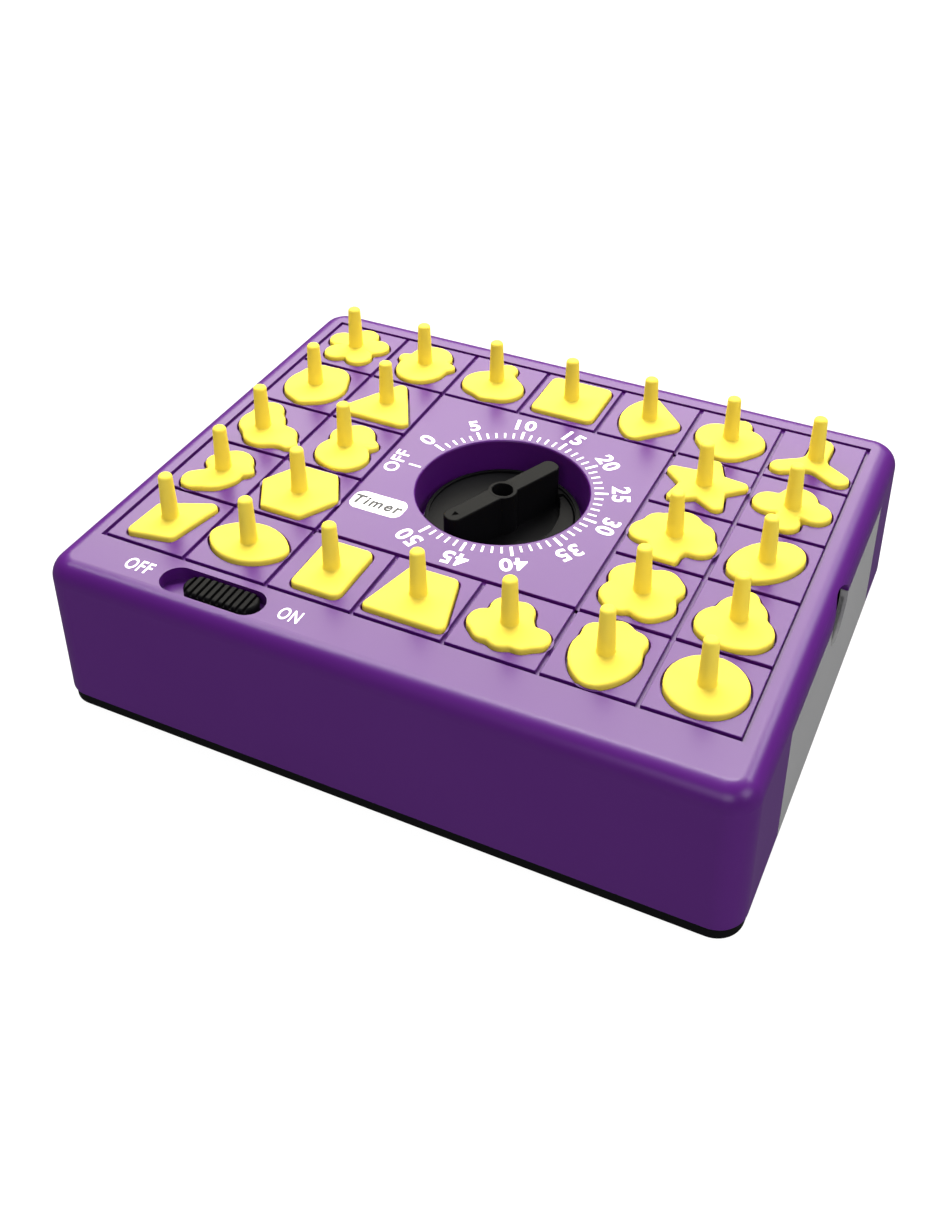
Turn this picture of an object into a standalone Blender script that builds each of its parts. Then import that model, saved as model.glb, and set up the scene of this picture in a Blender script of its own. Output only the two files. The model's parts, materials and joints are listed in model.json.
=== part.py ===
"""Wind-up shape-matching game: a case with a pop-up tray of 26 loose pieces round a timer.

The frame has +X to the right, +Y to the back and +Z up. The origin is the middle of the
underside. Lengths are written in millimetres and turned into metres as meshes are made.
"""
import math

import bmesh
import bpy
from mathutils import Vector

MM = 0.001

# Driving dimensions
CELL = 30.0
COLUMNS, ROWS = 7, 5
SIDE_MARGIN, FRONT_MARGIN, BACK_MARGIN = 9.5, 21.0, 11.0
HEIGHT = 56.0
CORNER_RADIUS, TOP_EDGE_RADIUS = 9.4, 6.8
WALL, TOP_SKIN = 2.4, 2.8
LINE = 1.3                      # width of the gap round the tray and of the cell grooves
TOUCH = 0.3                     # gap kept between pieces that touch
ABOVE = 80.0                    # higher than anything in the toy, where an open cut ends
BESIDE = 130.0                  # further right than the case, where an open cut ends

# Case and base
WIDTH = COLUMNS * CELL + 2 * SIDE_MARGIN
DEPTH = ROWS * CELL + FRONT_MARGIN + BACK_MARGIN
CASE_BOTTOM, BASE_TOP, BASE_INSET, BASE_FLOOR = 4.6, 3.8, 0.75, 2.2
GRID_LEFT = -COLUMNS * CELL / 2
GRID_FRONT = -DEPTH / 2 + FRONT_MARGIN
GRID_RIGHT, GRID_BACK = GRID_LEFT + COLUMNS * CELL, GRID_FRONT + ROWS * CELL
DIAL_X, DIAL_Y = 0.0, GRID_FRONT + ROWS * CELL / 2
ISLAND = 3 * CELL

# Tray, pieces and springs
TRAY_THICK, POCKET_DEPTH, PLATE_THICK, PLATE_PROUD = 4.8, 2.8, 4.0, 1.5
SKIRT, SKIRT_BOTTOM, GROOVE_DEPTH = 1.6, 45.0, 1.0
POCKET_CLEARANCE = 0.55
PEG_HEIGHT, PEG_FOOT, PEG_TOP = 16.2, 2.8, 2.4
OUTLINE_TOLERANCE = 0.28
POST_X, POST_DY, POST_TOP = 94.0, 64.0, 34.0
PIN_RADIUS, PIN_END = 2.0, 24.0
SPRING_RADIUS, SPRING_WIRE, SPRING_TURNS = 3.3, 0.6, 4

# Timer
WELL_RADIUS, WELL_WALL, WELL_FLOOR, WELL_FLOOR_THICK = 29.0, 1.8, 39.0, 1.8
KNOB_RADIUS, KNOB_BOTTOM, KNOB_RIM, KNOB_FLOOR = 26.2, 39.6, 46.0, 41.0
POCKET_RADIUS = 24.4
WALL_LEDGE = [(40.0, 20.0, 24.6), (58.0, 19.0, 24.6), (75.0, 18.4, 24.6), (100.0, 17.8, 24.6),
              (125.0, 17.8, 24.6), (138.0, 18.5, 24.6), (150.0, 19.5, 24.6), (168.0, 22.0, 24.6)]
FLOOR_LEDGE = [(20.0, 19.2, 19.7), (32.0, 16.4, 19.4), (45.0, 14.0, 19.0), (60.0, 12.6, 18.5),
               (75.0, 11.9, 18.0), (88.0, 13.6, 17.7), (101.0, 15.4, 17.4), (122.0, 17.2, 17.5)]
HANDLE_HALF, HANDLE_WIDTH, HUB_RADIUS, HUB_BORE = 24.0, 6.8, 5.0, 3.6
POINTER_ANGLE = -114.5          # degrees, the pointer at rest, at 50 on the dial
ARBOR_RADIUS = 3.0
LOWER_PLATE, UPPER_PLATE = (8.0, 9.5), (31.5, 33.3)
PILLARS = [(-40.0, -19.0), (-40.0, 29.0), (27.0, -19.0), (27.0, 29.0)]
MAIN_TEETH, MAIN_MODULE, PINION_TEETH = 40, 0.8, 8
SECOND_TEETH, SECOND_MODULE = 36, 0.7
SECOND_ANGLE, ESCAPE_ANGLE = 205.0, 200.0
ESCAPE_TEETH, ESCAPE_RADIUS = 15, 8.0
GUIDE_PINS = (-40.0, -24.0)     # where the catch slide's two pins stand, in X
PALLET_DROP = 12.5              # from the escape wheel's axis to the pallet's axis

# Switch and drawer
SLOT_X, SLOT_Y, SLOT_LENGTH, SLOT_WIDTH, SLOT_FLOOR = -57.6, -78.9, 36.5, 11.5, 51.5
SLIDER_LENGTH, SLIDER_WIDTH, SLIDER_TRAVEL = 25.7, 8.8, 6.2
RIBS, RIB_PITCH = 9, 2.35
DRAWER_WIDTH, DRAWER_TOP, DRAWER_END, DRAWER_WALL = 114.0, 43.5, 43.0, 1.8
PANEL_TOP, PANEL_THICK = 46.1, 2.4
NOTCH_Y, NOTCH_Z, NOTCH_HALF_WIDTH, NOTCH_HALF_HEIGHT = 4.0, 44.5, 10.5, 9.0


# Meshes

def material(name, colour, roughness, metallic=0.0):
    found = bpy.data.materials.new(name)
    found.use_nodes = True
    shader = found.node_tree.nodes["Principled BSDF"]
    shader.inputs["Base Color"].default_value = (*colour, 1.0)
    shader.inputs["Roughness"].default_value = roughness
    shader.inputs["Metallic"].default_value = metallic
    return found


def from_bmesh(name, shape, finish=None):
    bmesh.ops.recalc_face_normals(shape, faces=shape.faces)
    mesh = bpy.data.meshes.new(name)
    shape.to_mesh(mesh)
    shape.free()
    piece = bpy.data.objects.new(name, mesh)
    bpy.context.scene.collection.objects.link(piece)
    if finish:
        mesh.materials.append(finish)
    return piece


def loft(name, rings, finish=None):
    """Close a stack of equal-count rings of points (x, y, z) with a cap at each end."""
    shape = bmesh.new()
    loops = [[shape.verts.new(Vector(p) * MM) for p in ring] for ring in rings]
    count = len(loops[0])
    for below, above in zip(loops, loops[1:]):
        for k in range(count):
            shape.faces.new((below[k], below[(k + 1) % count], above[(k + 1) % count], above[k]))
    shape.faces.new(list(reversed(loops[0])))
    shape.faces.new(loops[-1])
    return from_bmesh(name, shape, finish)


def prism(name, outline, low, high, finish=None):
    return loft(name, [[(x, y, z) for x, y in outline] for z in (low, high)], finish)


def block(name, low, high, finish=None):
    (x0, y0, z0), (x1, y1, z1) = low, high
    return prism(name, [(x0, y0), (x1, y0), (x1, y1), (x0, y1)], z0, z1, finish)


def circle(radius, segments, x=0.0, y=0.0, turn=0.0):
    step = 2 * math.pi / segments
    return [(x + radius * math.cos(turn + k * step), y + radius * math.sin(turn + k * step))
            for k in range(segments)]


def turned(name, profile, segments, x=0.0, y=0.0, finish=None):
    """A solid of revolution about a vertical axis, from (radius, height) bottom to top."""
    rings = [[(px, py, z) for px, py in circle(radius, segments, x, y)] for radius, z in profile]
    return loft(name, rings, finish)


def rounded_rectangle(x0, x1, y0, y1, radius, steps=5):
    corners = [(x1, y1, 0), (x0, y1, 90), (x0, y0, 180), (x1, y0, 270)]
    points = []
    for cx, cy, start in corners:
        mx = cx - radius if cx == x1 else cx + radius
        my = cy - radius if cy == y1 else cy + radius
        for k in range(steps + 1):
            angle = math.radians(start + 90 * k / steps)
            points.append((mx + radius * math.cos(angle), my + radius * math.sin(angle)))
    return points


def stadium(length, width, x=0.0, y=0.0, steps=6):
    return rounded_rectangle(x - length / 2, x + length / 2, y - width / 2, y + width / 2,
                             width / 2 - 0.001, steps)


def combine(target, operation, *others):
    """Join others to the target, or cut them from it, and remove them."""
    for other in others:
        change = target.modifiers.new("combine", "BOOLEAN")
        change.operation = operation
        change.solver = "EXACT"
        change.object = other
        bpy.context.view_layer.update()
        evaluated = target.evaluated_get(bpy.context.evaluated_depsgraph_get())
        mesh = bpy.data.meshes.new_from_object(evaluated)
        target.modifiers.clear()
        target.data = mesh
        bpy.data.objects.remove(other)
    return target


def cut(target, *others):
    return combine(target, "DIFFERENCE", *others)


def join(target, *others):
    return combine(target, "UNION", *others)


def set_pivot(piece, x, y, z):
    """Move the object's origin onto its joint's axis without moving the solid."""
    pivot = Vector((x, y, z)) * MM
    for vertex in piece.data.vertices:
        vertex.co -= pivot
    piece.location = pivot
    return piece


# Outlines of the loose pieces, as distance functions in cell units about the cell's middle

def disc(x, y, radius):
    return lambda px, py: math.hypot(px - x, py - y) - radius


def bar(x0, y0, x1, y1, radius):
    dx, dy = x1 - x0, y1 - y0

    def distance(px, py):
        along = ((px - x0) * dx + (py - y0) * dy) / (dx * dx + dy * dy)
        along = min(1.0, max(0.0, along))
        return math.hypot(px - x0 - along * dx, py - y0 - along * dy) - radius
    return distance


def polygon(points, rounding):
    """Distance to a polygon that is drawn in by the rounding and then grown back."""
    def distance(px, py):
        nearest, inside = 9.0, False
        for (ax, ay), (bx, by) in zip(points, points[1:] + points[:1]):
            ex, ey = bx - ax, by - ay
            along = ((px - ax) * ex + (py - ay) * ey) / (ex * ex + ey * ey)
            along = min(1.0, max(0.0, along))
            nearest = min(nearest, math.hypot(px - ax - along * ex, py - ay - along * ey))
            if (ay > py) != (by > py) and px < ax + (py - ay) / (by - ay) * ex:
                inside = not inside
        return (-nearest if inside else nearest) - rounding
    return distance


def star(points, outer, inner, rounding, turn=90.0):
    corners = []
    for k in range(2 * points):
        radius = inner if k % 2 else outer
        angle = math.radians(turn + 180.0 * k / points)
        corners.append((radius * math.cos(angle), radius * math.sin(angle)))
    return polygon(corners, rounding)


def meet(rounding, *parts):
    """The overlap of parts, each drawn in and grown back so that its corners are round."""
    def distance(px, py):
        depths = [part(px, py) + rounding for part in parts]
        if max(depths) <= 0:
            return max(depths) - rounding
        return math.sqrt(sum(max(0.0, d) ** 2 for d in depths)) - rounding
    return distance


def blend(softness, *parts):
    """The union of parts with a small fillet in each inner corner."""
    def distance(px, py):
        values = sorted(part(px, py) for part in parts)
        near, far = values[0], values[1]
        mix = max(0.0, softness - (far - near)) / softness
        return near - mix * mix * softness / 4
    return distance


def tilted_ellipse(x, y, half_length, half_width, degrees):
    ca, sa = math.cos(math.radians(degrees)), math.sin(math.radians(degrees))

    def distance(px, py):
        u = ((px - x) * ca + (py - y) * sa) / half_length
        v = ((py - y) * ca - (px - x) * sa) / half_width
        return (math.hypot(u, v) - 1.0) * half_width
    return distance


def lobes(count, reach, radius, turn):
    angles = [math.radians(turn + 360.0 * k / count) for k in range(count)]
    return [disc(reach * math.cos(a), reach * math.sin(a), radius) for a in angles]


# Each piece: column, row (from the front left), outline
PIECES = {
    "piece_rhombus": (0, 0, polygon([(-0.19, 0.10), (0.29, 0.31), (0.17, -0.25), (-0.22, -0.32)], 0.08)),
    "piece_lens": (1, 0, meet(0.07, disc(0.0, -0.22, 0.53), disc(0.0, 0.20, 0.53))),
    "piece_block": (2, 0, polygon([(-0.19, -0.31), (0.20, -0.31), (0.20, 0.30), (-0.19, 0.30)], 0.09)),
    "piece_trapezoid": (3, 0, polygon([(-0.38, -0.33), (0.39, -0.33), (0.22, 0.30), (-0.22, 0.30)],
                                      0.07)),
    "piece_cloud": (4, 0, blend(0.05, disc(-0.14, 0.19, 0.15), disc(0.03, 0.19, 0.15),
                                disc(-0.24, -0.07, 0.18), disc(0.32, -0.10, 0.15),
                                disc(-0.17, -0.20, 0.13), disc(0.02, -0.22, 0.15),
                                disc(0.21, -0.20, 0.13), disc(0.02, -0.03, 0.24))),
    "piece_acorn": (5, 0, blend(0.05, disc(-0.20, 0.24, 0.13), disc(0.0, 0.29, 0.16),
                                disc(0.19, 0.26, 0.14),
                                meet(0.06, disc(-0.20, 0.02, 0.54), disc(0.20, 0.02, 0.54),
                                     disc(0.0, -0.20, 0.45)),
                                meet(0.06, disc(-0.20, 0.0, 0.54), disc(0.20, 0.0, 0.54)))),
    "piece_round": (6, 0, disc(0.0, -0.01, 0.405)),
    "piece_boot": (0, 1, blend(0.05, disc(0.03, 0.13, 0.24), disc(-0.14, 0.09, 0.14),
                               bar(0.1, 0.12, 0.26, 0.06, 0.09), disc(0.05, -0.10, 0.22),
                               bar(0.02, -0.22, -0.17, -0.30, 0.17))),
    "piece_hexagon": (1, 1, polygon(circle(0.44, 6), 0.04)),
    "piece_clover": (5, 1, blend(0.05, bar(0.14, 0.20, 0.20, 0.14, 0.20),
                                 bar(-0.14, 0.20, -0.20, 0.14, 0.20),
                                 bar(0.14, -0.20, 0.20, -0.14, 0.20),
                                 bar(-0.14, -0.20, -0.20, -0.14, 0.20), disc(0.0, 0.0, 0.20))),
    "piece_bell": (6, 1, blend(0.04, disc(0.0, 0.32, 0.12), disc(0.0, 0.10, 0.255),
                               disc(-0.12, -0.15, 0.275), disc(0.12, -0.15, 0.275),
                               disc(0.0, -0.17, 0.29))),
    "piece_moon": (0, 2, blend(0.05, disc(-0.19, 0.22, 0.19), bar(-0.12, 0.10, -0.02, 0.10, 0.11),
                               disc(-0.13, -0.02, 0.27), disc(0.03, -0.19, 0.26),
                               disc(0.22, -0.17, 0.20), bar(0.25, -0.22, 0.40, -0.27, 0.10))),
    "piece_gourd": (1, 2, blend(0.04, disc(0.03, 0.20, 0.22), disc(-0.09, 0.15, 0.18),
                                bar(0.12, 0.20, 0.28, 0.10, 0.09), disc(0.02, -0.16, 0.29),
                                disc(0.12, -0.21, 0.27))),
    "piece_tree": (5, 2, blend(0.05, disc(0.01, 0.19, 0.24), disc(-0.20, 0.12, 0.19),
                               disc(0.21, 0.12, 0.19), disc(-0.29, -0.06, 0.19),
                               disc(0.29, -0.06, 0.19), disc(0.0, -0.08, 0.26),
                               polygon([(-0.14, -0.40), (0.11, -0.40), (0.11, -0.1), (-0.14, -0.1)],
                                       0.06))),
    "piece_ellipse": (6, 2, tilted_ellipse(0.0, -0.02, 0.45, 0.295, 50.0)),
    "piece_lemon": (0, 3, blend(0.05, disc(0.02, -0.04, 0.385), disc(0.10, 0.20, 0.225),
                                disc(-0.08, 0.19, 0.225), disc(0.03, -0.36, 0.09))),
    "piece_triangle": (1, 3, polygon([(0.01, 0.33), (0.37, -0.32), (-0.37, -0.32)], 0.08)),
    "piece_star": (5, 3, star(5, 0.41, 0.19, 0.08)),
    "piece_club": (6, 3, blend(0.06, disc(0.02, 0.15, 0.22), disc(-0.25, -0.01, 0.19),
                               disc(0.25, -0.01, 0.18), disc(0.0, 0.0, 0.20),
                               disc(0.0, -0.29, 0.16))),
    "piece_flower": (0, 4, blend(0.04, *lobes(5, 0.265, 0.165, 90.0), disc(0.0, 0.0, 0.2))),
    "piece_helmet": (1, 4, blend(0.05, disc(0.01, 0.14, 0.275), disc(0.01, -0.13, 0.315),
                                 disc(-0.29, 0.03, 0.09), disc(0.31, 0.02, 0.09))),
    "piece_pear": (2, 4, blend(0.06, disc(0.02, 0.28, 0.13), disc(-0.13, -0.11, 0.265),
                               disc(0.13, -0.14, 0.27), disc(0.0, -0.02, 0.26),
                               disc(0.0, -0.31, 0.13))),
    "piece_square": (3, 4, polygon([(-0.30, -0.30), (0.31, -0.30), (0.31, 0.30), (-0.30, 0.30)], 0.09)),
    "piece_fan": (4, 4, meet(0.08, disc(0.20, -0.02, 0.54),
                             polygon([(-0.534, 0.77), (0.266, -0.03), (-0.534, -0.83)], 0.12))),
    "piece_apple": (5, 4, blend(0.05, disc(-0.14, -0.02, 0.27), disc(0.14, -0.02, 0.27),
                                disc(0.0, -0.12, 0.32), disc(0.05, 0.30, 0.12))),
    "piece_three_arm": (6, 4, blend(0.08, bar(0.0, -0.09, 0.01, 0.30, 0.125),
                                    bar(0.0, -0.09, -0.33, -0.29, 0.12),
                                    bar(0.0, -0.09, 0.33, -0.29, 0.12))),
}


# Where a peg stands off its cell's middle, in millimetres
PEG_OFFSETS = {"piece_moon": (-1.8, -2.7)}


def thinned(points, tolerance):
    """Leave out points that lie within the tolerance of a straight run (Ramer-Douglas-Peucker)."""
    (ax, ay), (bx, by) = points[0], points[-1]
    length = math.hypot(bx - ax, by - ay)
    far, where = 0.0, 0
    for k in range(1, len(points) - 1):
        px, py = points[k]
        if length > 0:
            gap = abs((bx - ax) * (py - ay) - (by - ay) * (px - ax)) / length
        else:
            gap = math.hypot(px - ax, py - ay)
        if gap > far:
            far, where = gap, k
    if far <= tolerance:
        return [points[0], points[-1]]
    return thinned(points[:where + 1], tolerance)[:-1] + thinned(points[where:], tolerance)


def traced(distance, level, reach, samples, x=0.0, y=0.0):
    """Where rays from (x, y), no longer than reach, meet the given distance level."""
    points = []
    for k in range(samples):
        angle = 2 * math.pi * k / samples
        ca, sa = math.cos(angle), math.sin(angle)
        low, high = 0.0, reach
        for _ in range(24):
            middle = (low + high) / 2
            if distance(x + middle * ca, y + middle * sa) < level:
                low = middle
            else:
                high = middle
        points.append((x + low * ca, y + low * sa))
    return points


def piece_outline(distance, grow=0.0, samples=180):
    """The outline in millimetres about the cell's middle, grown outwards by grow."""
    points = [(px * CELL, py * CELL) for px, py in traced(distance, grow / CELL, 0.8, samples)]
    half = samples // 2
    first = thinned(points[:half + 1], OUTLINE_TOLERANCE)
    second = thinned(points[half:] + points[:1], OUTLINE_TOLERANCE)
    return first[:-1] + second[:-1]


def cell_middle(column, row):
    return GRID_LEFT + (column + 0.5) * CELL, GRID_FRONT + (row + 0.5) * CELL


def moved(outline, x, y):
    return [(px + x, py + y) for px, py in outline]


def make_piece(name, column, row, distance, finish):
    x, y = cell_middle(column, row)
    top = HEIGHT + PLATE_PROUD
    plate = prism(name, moved(piece_outline(distance), x, y), top - PLATE_THICK, top, finish)
    aside, behind = PEG_OFFSETS.get(name, (0.0, 0.0))
    peg = turned("peg", [(PEG_FOOT, top - 1.0), (PEG_FOOT, top + 0.6), (PEG_TOP, top + PEG_HEIGHT - 1.4),
                         (PEG_TOP * 0.6, top + PEG_HEIGHT)], 8, x + aside, y + behind)
    join(plate, peg)
    return set_pivot(plate, x, y, top - PLATE_THICK)


# Case, base and tray

def rounded_box_rings(inset_bottom, bottom, top, edge, steps):
    half_w, half_d = WIDTH / 2 - inset_bottom, DEPTH / 2 - inset_bottom
    rings = []
    heights = [(0.0, bottom)]
    for k in range(steps + 1):
        angle = math.radians(90 * k / steps)
        heights.append((edge * (1 - math.cos(angle)), top - edge * (1 - math.sin(angle))))
    for inset, z in heights:
        radius = max(CORNER_RADIUS - inset_bottom - inset, 0.5)
        x, y = half_w - inset, half_d - inset
        outline = rounded_rectangle(-x, x, -y, y, radius)
        rings.append([(x, y, z) for x, y in outline])
    return rings


def case_screw_places():
    x, front, back = WIDTH / 2 - 12.0, -DEPTH / 2 + 9.5, DEPTH / 2 - 5.6
    return [(-x, front), (x, front), (-x, back), (x, back)]


def post_places():
    return [(sx * POST_X, DIAL_Y + sy * POST_DY) for sx in (-1, 1) for sy in (-1, 1)]


def make_case(finish):
    case = loft("top_case", rounded_box_rings(0.0, CASE_BOTTOM, HEIGHT, TOP_EDGE_RADIUS, 4), finish)
    inner_w, inner_d = WIDTH / 2 - WALL, DEPTH / 2 - WALL
    cavity = rounded_rectangle(-inner_w, inner_w, -inner_d, inner_d, CORNER_RADIUS - WALL)
    cut(case, prism("cavity", cavity, 0.0, HEIGHT - TOP_SKIN))
    half = LINE / 2
    frame = block("frame", (GRID_LEFT - half - SKIRT, GRID_FRONT - half - SKIRT, SKIRT_BOTTOM + 1.0),
                  (GRID_RIGHT + half + SKIRT, GRID_BACK + half + SKIRT, HEIGHT - 1.0))
    tub = prism("tub", stadium(SLOT_LENGTH + 4.0, SLOT_WIDTH + 4.0, SLOT_X, SLOT_Y),
                SLOT_FLOOR - 2.5, HEIGHT - 1.0)
    bosses = [turned("boss", [(3.4, CASE_BOTTOM + 0.4), (3.4, HEIGHT - 1.0)], 10, x, y)
              for x, y in case_screw_places()]
    join(case, frame, tub, *bosses)
    opening = block("opening", (GRID_LEFT - half, GRID_FRONT - half, 0.0),
                    (GRID_RIGHT + half, GRID_BACK + half, ABOVE))
    slot = prism("slot", stadium(SLOT_LENGTH, SLOT_WIDTH, SLOT_X, SLOT_Y), SLOT_FLOOR, ABOVE)
    stem_slot = block("stem_slot", (SLOT_X - 8.0, SLOT_Y - 2.2, 30.0),
                      (SLOT_X + 8.0, SLOT_Y + 2.2, ABOVE))
    bores = [turned("bore", [(1.6, 0.0), (1.6, 20.0)], 8, x, y) for x, y in case_screw_places()]
    half_bay = DRAWER_WIDTH / 2 + TOUCH
    bay = block("bay", (80.0, DIAL_Y - half_bay, 0.0), (BESIDE, DIAL_Y + half_bay, PANEL_TOP + TOUCH))
    cut(case, opening, slot, stem_slot, bay, finger_notch(), *bores)
    return case


def finger_notch():
    """An oval prism along X at the top edge of the drawer's front."""
    outline = []
    for k in range(16):
        angle = 2 * math.pi * k / 16
        outline.append((NOTCH_HALF_WIDTH * math.cos(angle), NOTCH_HALF_HEIGHT * math.sin(angle)))
    rings = [[(x, NOTCH_Y + u, NOTCH_Z + v) for u, v in outline] for x in (WIDTH / 2 - 7.0, BESIDE)]
    return loft("notch", rings)


def make_base(finish):
    outline_in = rounded_box_rings(BASE_INSET, 0.0, BASE_TOP, 0.0, 1)
    chamfer = rounded_box_rings(BASE_INSET + 0.6, 0.0, BASE_TOP, 0.0, 1)[0]
    lower = [(x, y, 0.6) for x, y, _ in outline_in[0]]
    upper = [(x, y, BASE_TOP) for x, y, _ in outline_in[0]]
    base = loft("base_plate", [chamfer, lower, upper], finish)
    rim = 5.5
    pan = rounded_rectangle(-WIDTH / 2 + rim, WIDTH / 2 - rim, -DEPTH / 2 + rim, DEPTH / 2 - rim, 5.0, 3)
    cut(base, prism("pan", pan, BASE_FLOOR, 9.0))
    posts = [turned("post", [(4.5, 1.0), (4.5, POST_TOP)], 10, x, y) for x, y in post_places()]
    bosses = [turned("boss", [(4.0, 1.0), (4.0, LOWER_PLATE[0] - TOUCH)], 10, x, y) for x, y in PILLARS]
    join(base, *posts, *bosses)
    holes = [turned("bore", [(2.5, 20.0), (2.5, 40.0)], 8, x, y) for x, y in post_places()]
    for x, y in case_screw_places() + PILLARS:
        holes.append(turned("head", [(3.3, -1.0), (3.3, 1.5)], 10, x, y))
        holes.append(turned("hole", [(1.7, 1.0), (1.7, 12.0)], 8, x, y))
    cut(base, *holes)
    return base


def make_screw(name, x, y, finish):
    top = 14.0
    profile = [(2.6, 0.3), (2.9, 0.6), (2.9, 1.2), (1.3, 1.2), (1.3, top - 1.0), (0.5, top)]
    return turned(name, profile, 8, x, y, finish)


def groove_runs(middle, panel, start, end):
    """From start to end, or in two runs on either side of the dial panel when it is in the way."""
    reach = ISLAND / 2 + LINE / 2
    if abs(middle) > reach:
        return [(start, end)]
    return [(start, panel - reach - SKIRT), (panel + reach + SKIRT, end)]


def make_tray(finish):
    half = LINE / 2
    bottom = HEIGHT - TRAY_THICK
    x0, x1 = GRID_LEFT + half, GRID_RIGHT - half
    y0, y1 = GRID_FRONT + half, GRID_BACK - half
    tray = block("pop_up_tray", (x0, y0, SKIRT_BOTTOM), (x1, y1, HEIGHT), finish)
    inner = ISLAND / 2 + half
    cut(tray, block("opening", (DIAL_X - inner, DIAL_Y - inner, 0.0),
                    (DIAL_X + inner, DIAL_Y + inner, ABOVE)))
    ring = block("hollow", (x0 + SKIRT, y0 + SKIRT, 40.0), (x1 - SKIRT, y1 - SKIRT, bottom))
    keep = inner + SKIRT
    cut(ring, block("keep", (DIAL_X - keep, DIAL_Y - keep, 0.0),
                    (DIAL_X + keep, DIAL_Y + keep, ABOVE)))
    cut(tray, ring)
    pin_profile = [(PIN_RADIUS * 0.6, PIN_END), (PIN_RADIUS, PIN_END + 1.0), (PIN_RADIUS, bottom + 1.0)]
    pins = [turned("pin", pin_profile, 8, x, y) for x, y in post_places()]
    lug = block("lug", (-56.0, DIAL_Y - 6.0, 30.5), (-50.0, DIAL_Y + 6.0, bottom + 1.0))
    window = block("window", (-60.0, DIAL_Y - 4.4, 33.8), (-40.0, DIAL_Y + 4.4, 36.8))
    join(tray, lug, *pins)
    cut(tray, window)
    groove_floor = HEIGHT - GROOVE_DEPTH
    for x in [GRID_LEFT + k * CELL for k in range(1, COLUMNS)]:
        for low, high in groove_runs(x - DIAL_X, DIAL_Y, y0 - 2.0, y1 + 2.0):
            cut(tray, block("groove", (x - half, low, groove_floor), (x + half, high, ABOVE)))
    for y in [GRID_FRONT + k * CELL for k in range(1, ROWS)]:
        for low, high in groove_runs(y - DIAL_Y, DIAL_X, x0 - 2.0, x1 + 2.0):
            cut(tray, block("groove", (low, y - half, groove_floor), (high, y + half, ABOVE)))
    for column, row, distance in PIECES.values():
        outline = moved(piece_outline(distance, POCKET_CLEARANCE), *cell_middle(column, row))
        cut(tray, prism("pocket", outline, HEIGHT - POCKET_DEPTH, ABOVE))
    return tray


def make_spring(name, x, y, finish):
    """A coil spring with round wire, from the guide post's top to the tray's underside."""
    low, high = POST_TOP + 1.0, HEIGHT - TRAY_THICK - 1.0
    steps, sides = 9, 4
    rings = []
    for k in range(SPRING_TURNS * steps + 1):
        angle = 2 * math.pi * k / steps
        z = low + (high - low) * k / (SPRING_TURNS * steps)
        ring = []
        for s in range(sides):
            turn = 2 * math.pi * s / sides
            radius = SPRING_RADIUS + SPRING_WIRE * math.cos(turn)
            ring.append((x + radius * math.cos(angle), y + radius * math.sin(angle),
                         z + SPRING_WIRE * math.sin(turn)))
        rings.append(ring)
    return loft(name, rings, finish)


# Timer

def make_dial_panel(finish):
    half = ISLAND / 2 - LINE / 2
    panel = block("dial_panel", (DIAL_X - half, DIAL_Y - half, HEIGHT - 3.0),
                  (DIAL_X + half, DIAL_Y + half, HEIGHT), finish)
    outer = WELL_RADIUS + WELL_WALL
    floor_low = WELL_FLOOR - WELL_FLOOR_THICK
    join(panel, turned("cup", [(outer, floor_low), (outer, HEIGHT - 1.0)], 40, DIAL_X, DIAL_Y))
    leg_profile = [(2.5, UPPER_PLATE[1] + TOUCH), (2.5, WELL_FLOOR - 1.0)]
    legs = [turned("leg", leg_profile, 8, DIAL_X + dx, DIAL_Y + dy)
            for dx, dy in ((-22.0, 16.0), (22.0, 16.0), (22.0, -16.0), (-22.0, -16.0))]
    join(panel, *legs)
    cut(panel, turned("well", [(WELL_RADIUS, WELL_FLOOR), (WELL_RADIUS, ABOVE)], 40, DIAL_X, DIAL_Y))
    cut(panel, turned("bore", [(HUB_BORE, 20.0), (HUB_BORE, 60.0)], 12, DIAL_X, DIAL_Y))
    return panel


def arc_ledge(low, high, stations):
    """A curved step; each station is an angle in degrees with an inner and an outer radius."""
    inner, outer = [], []
    for degrees, near, far in stations:
        ca, sa = math.cos(math.radians(degrees)), math.sin(math.radians(degrees))
        inner.append((near * ca, near * sa))
        outer.append((far * ca, far * sa))
    return prism("ledge", outer + list(reversed(inner)), low, high)


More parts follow.
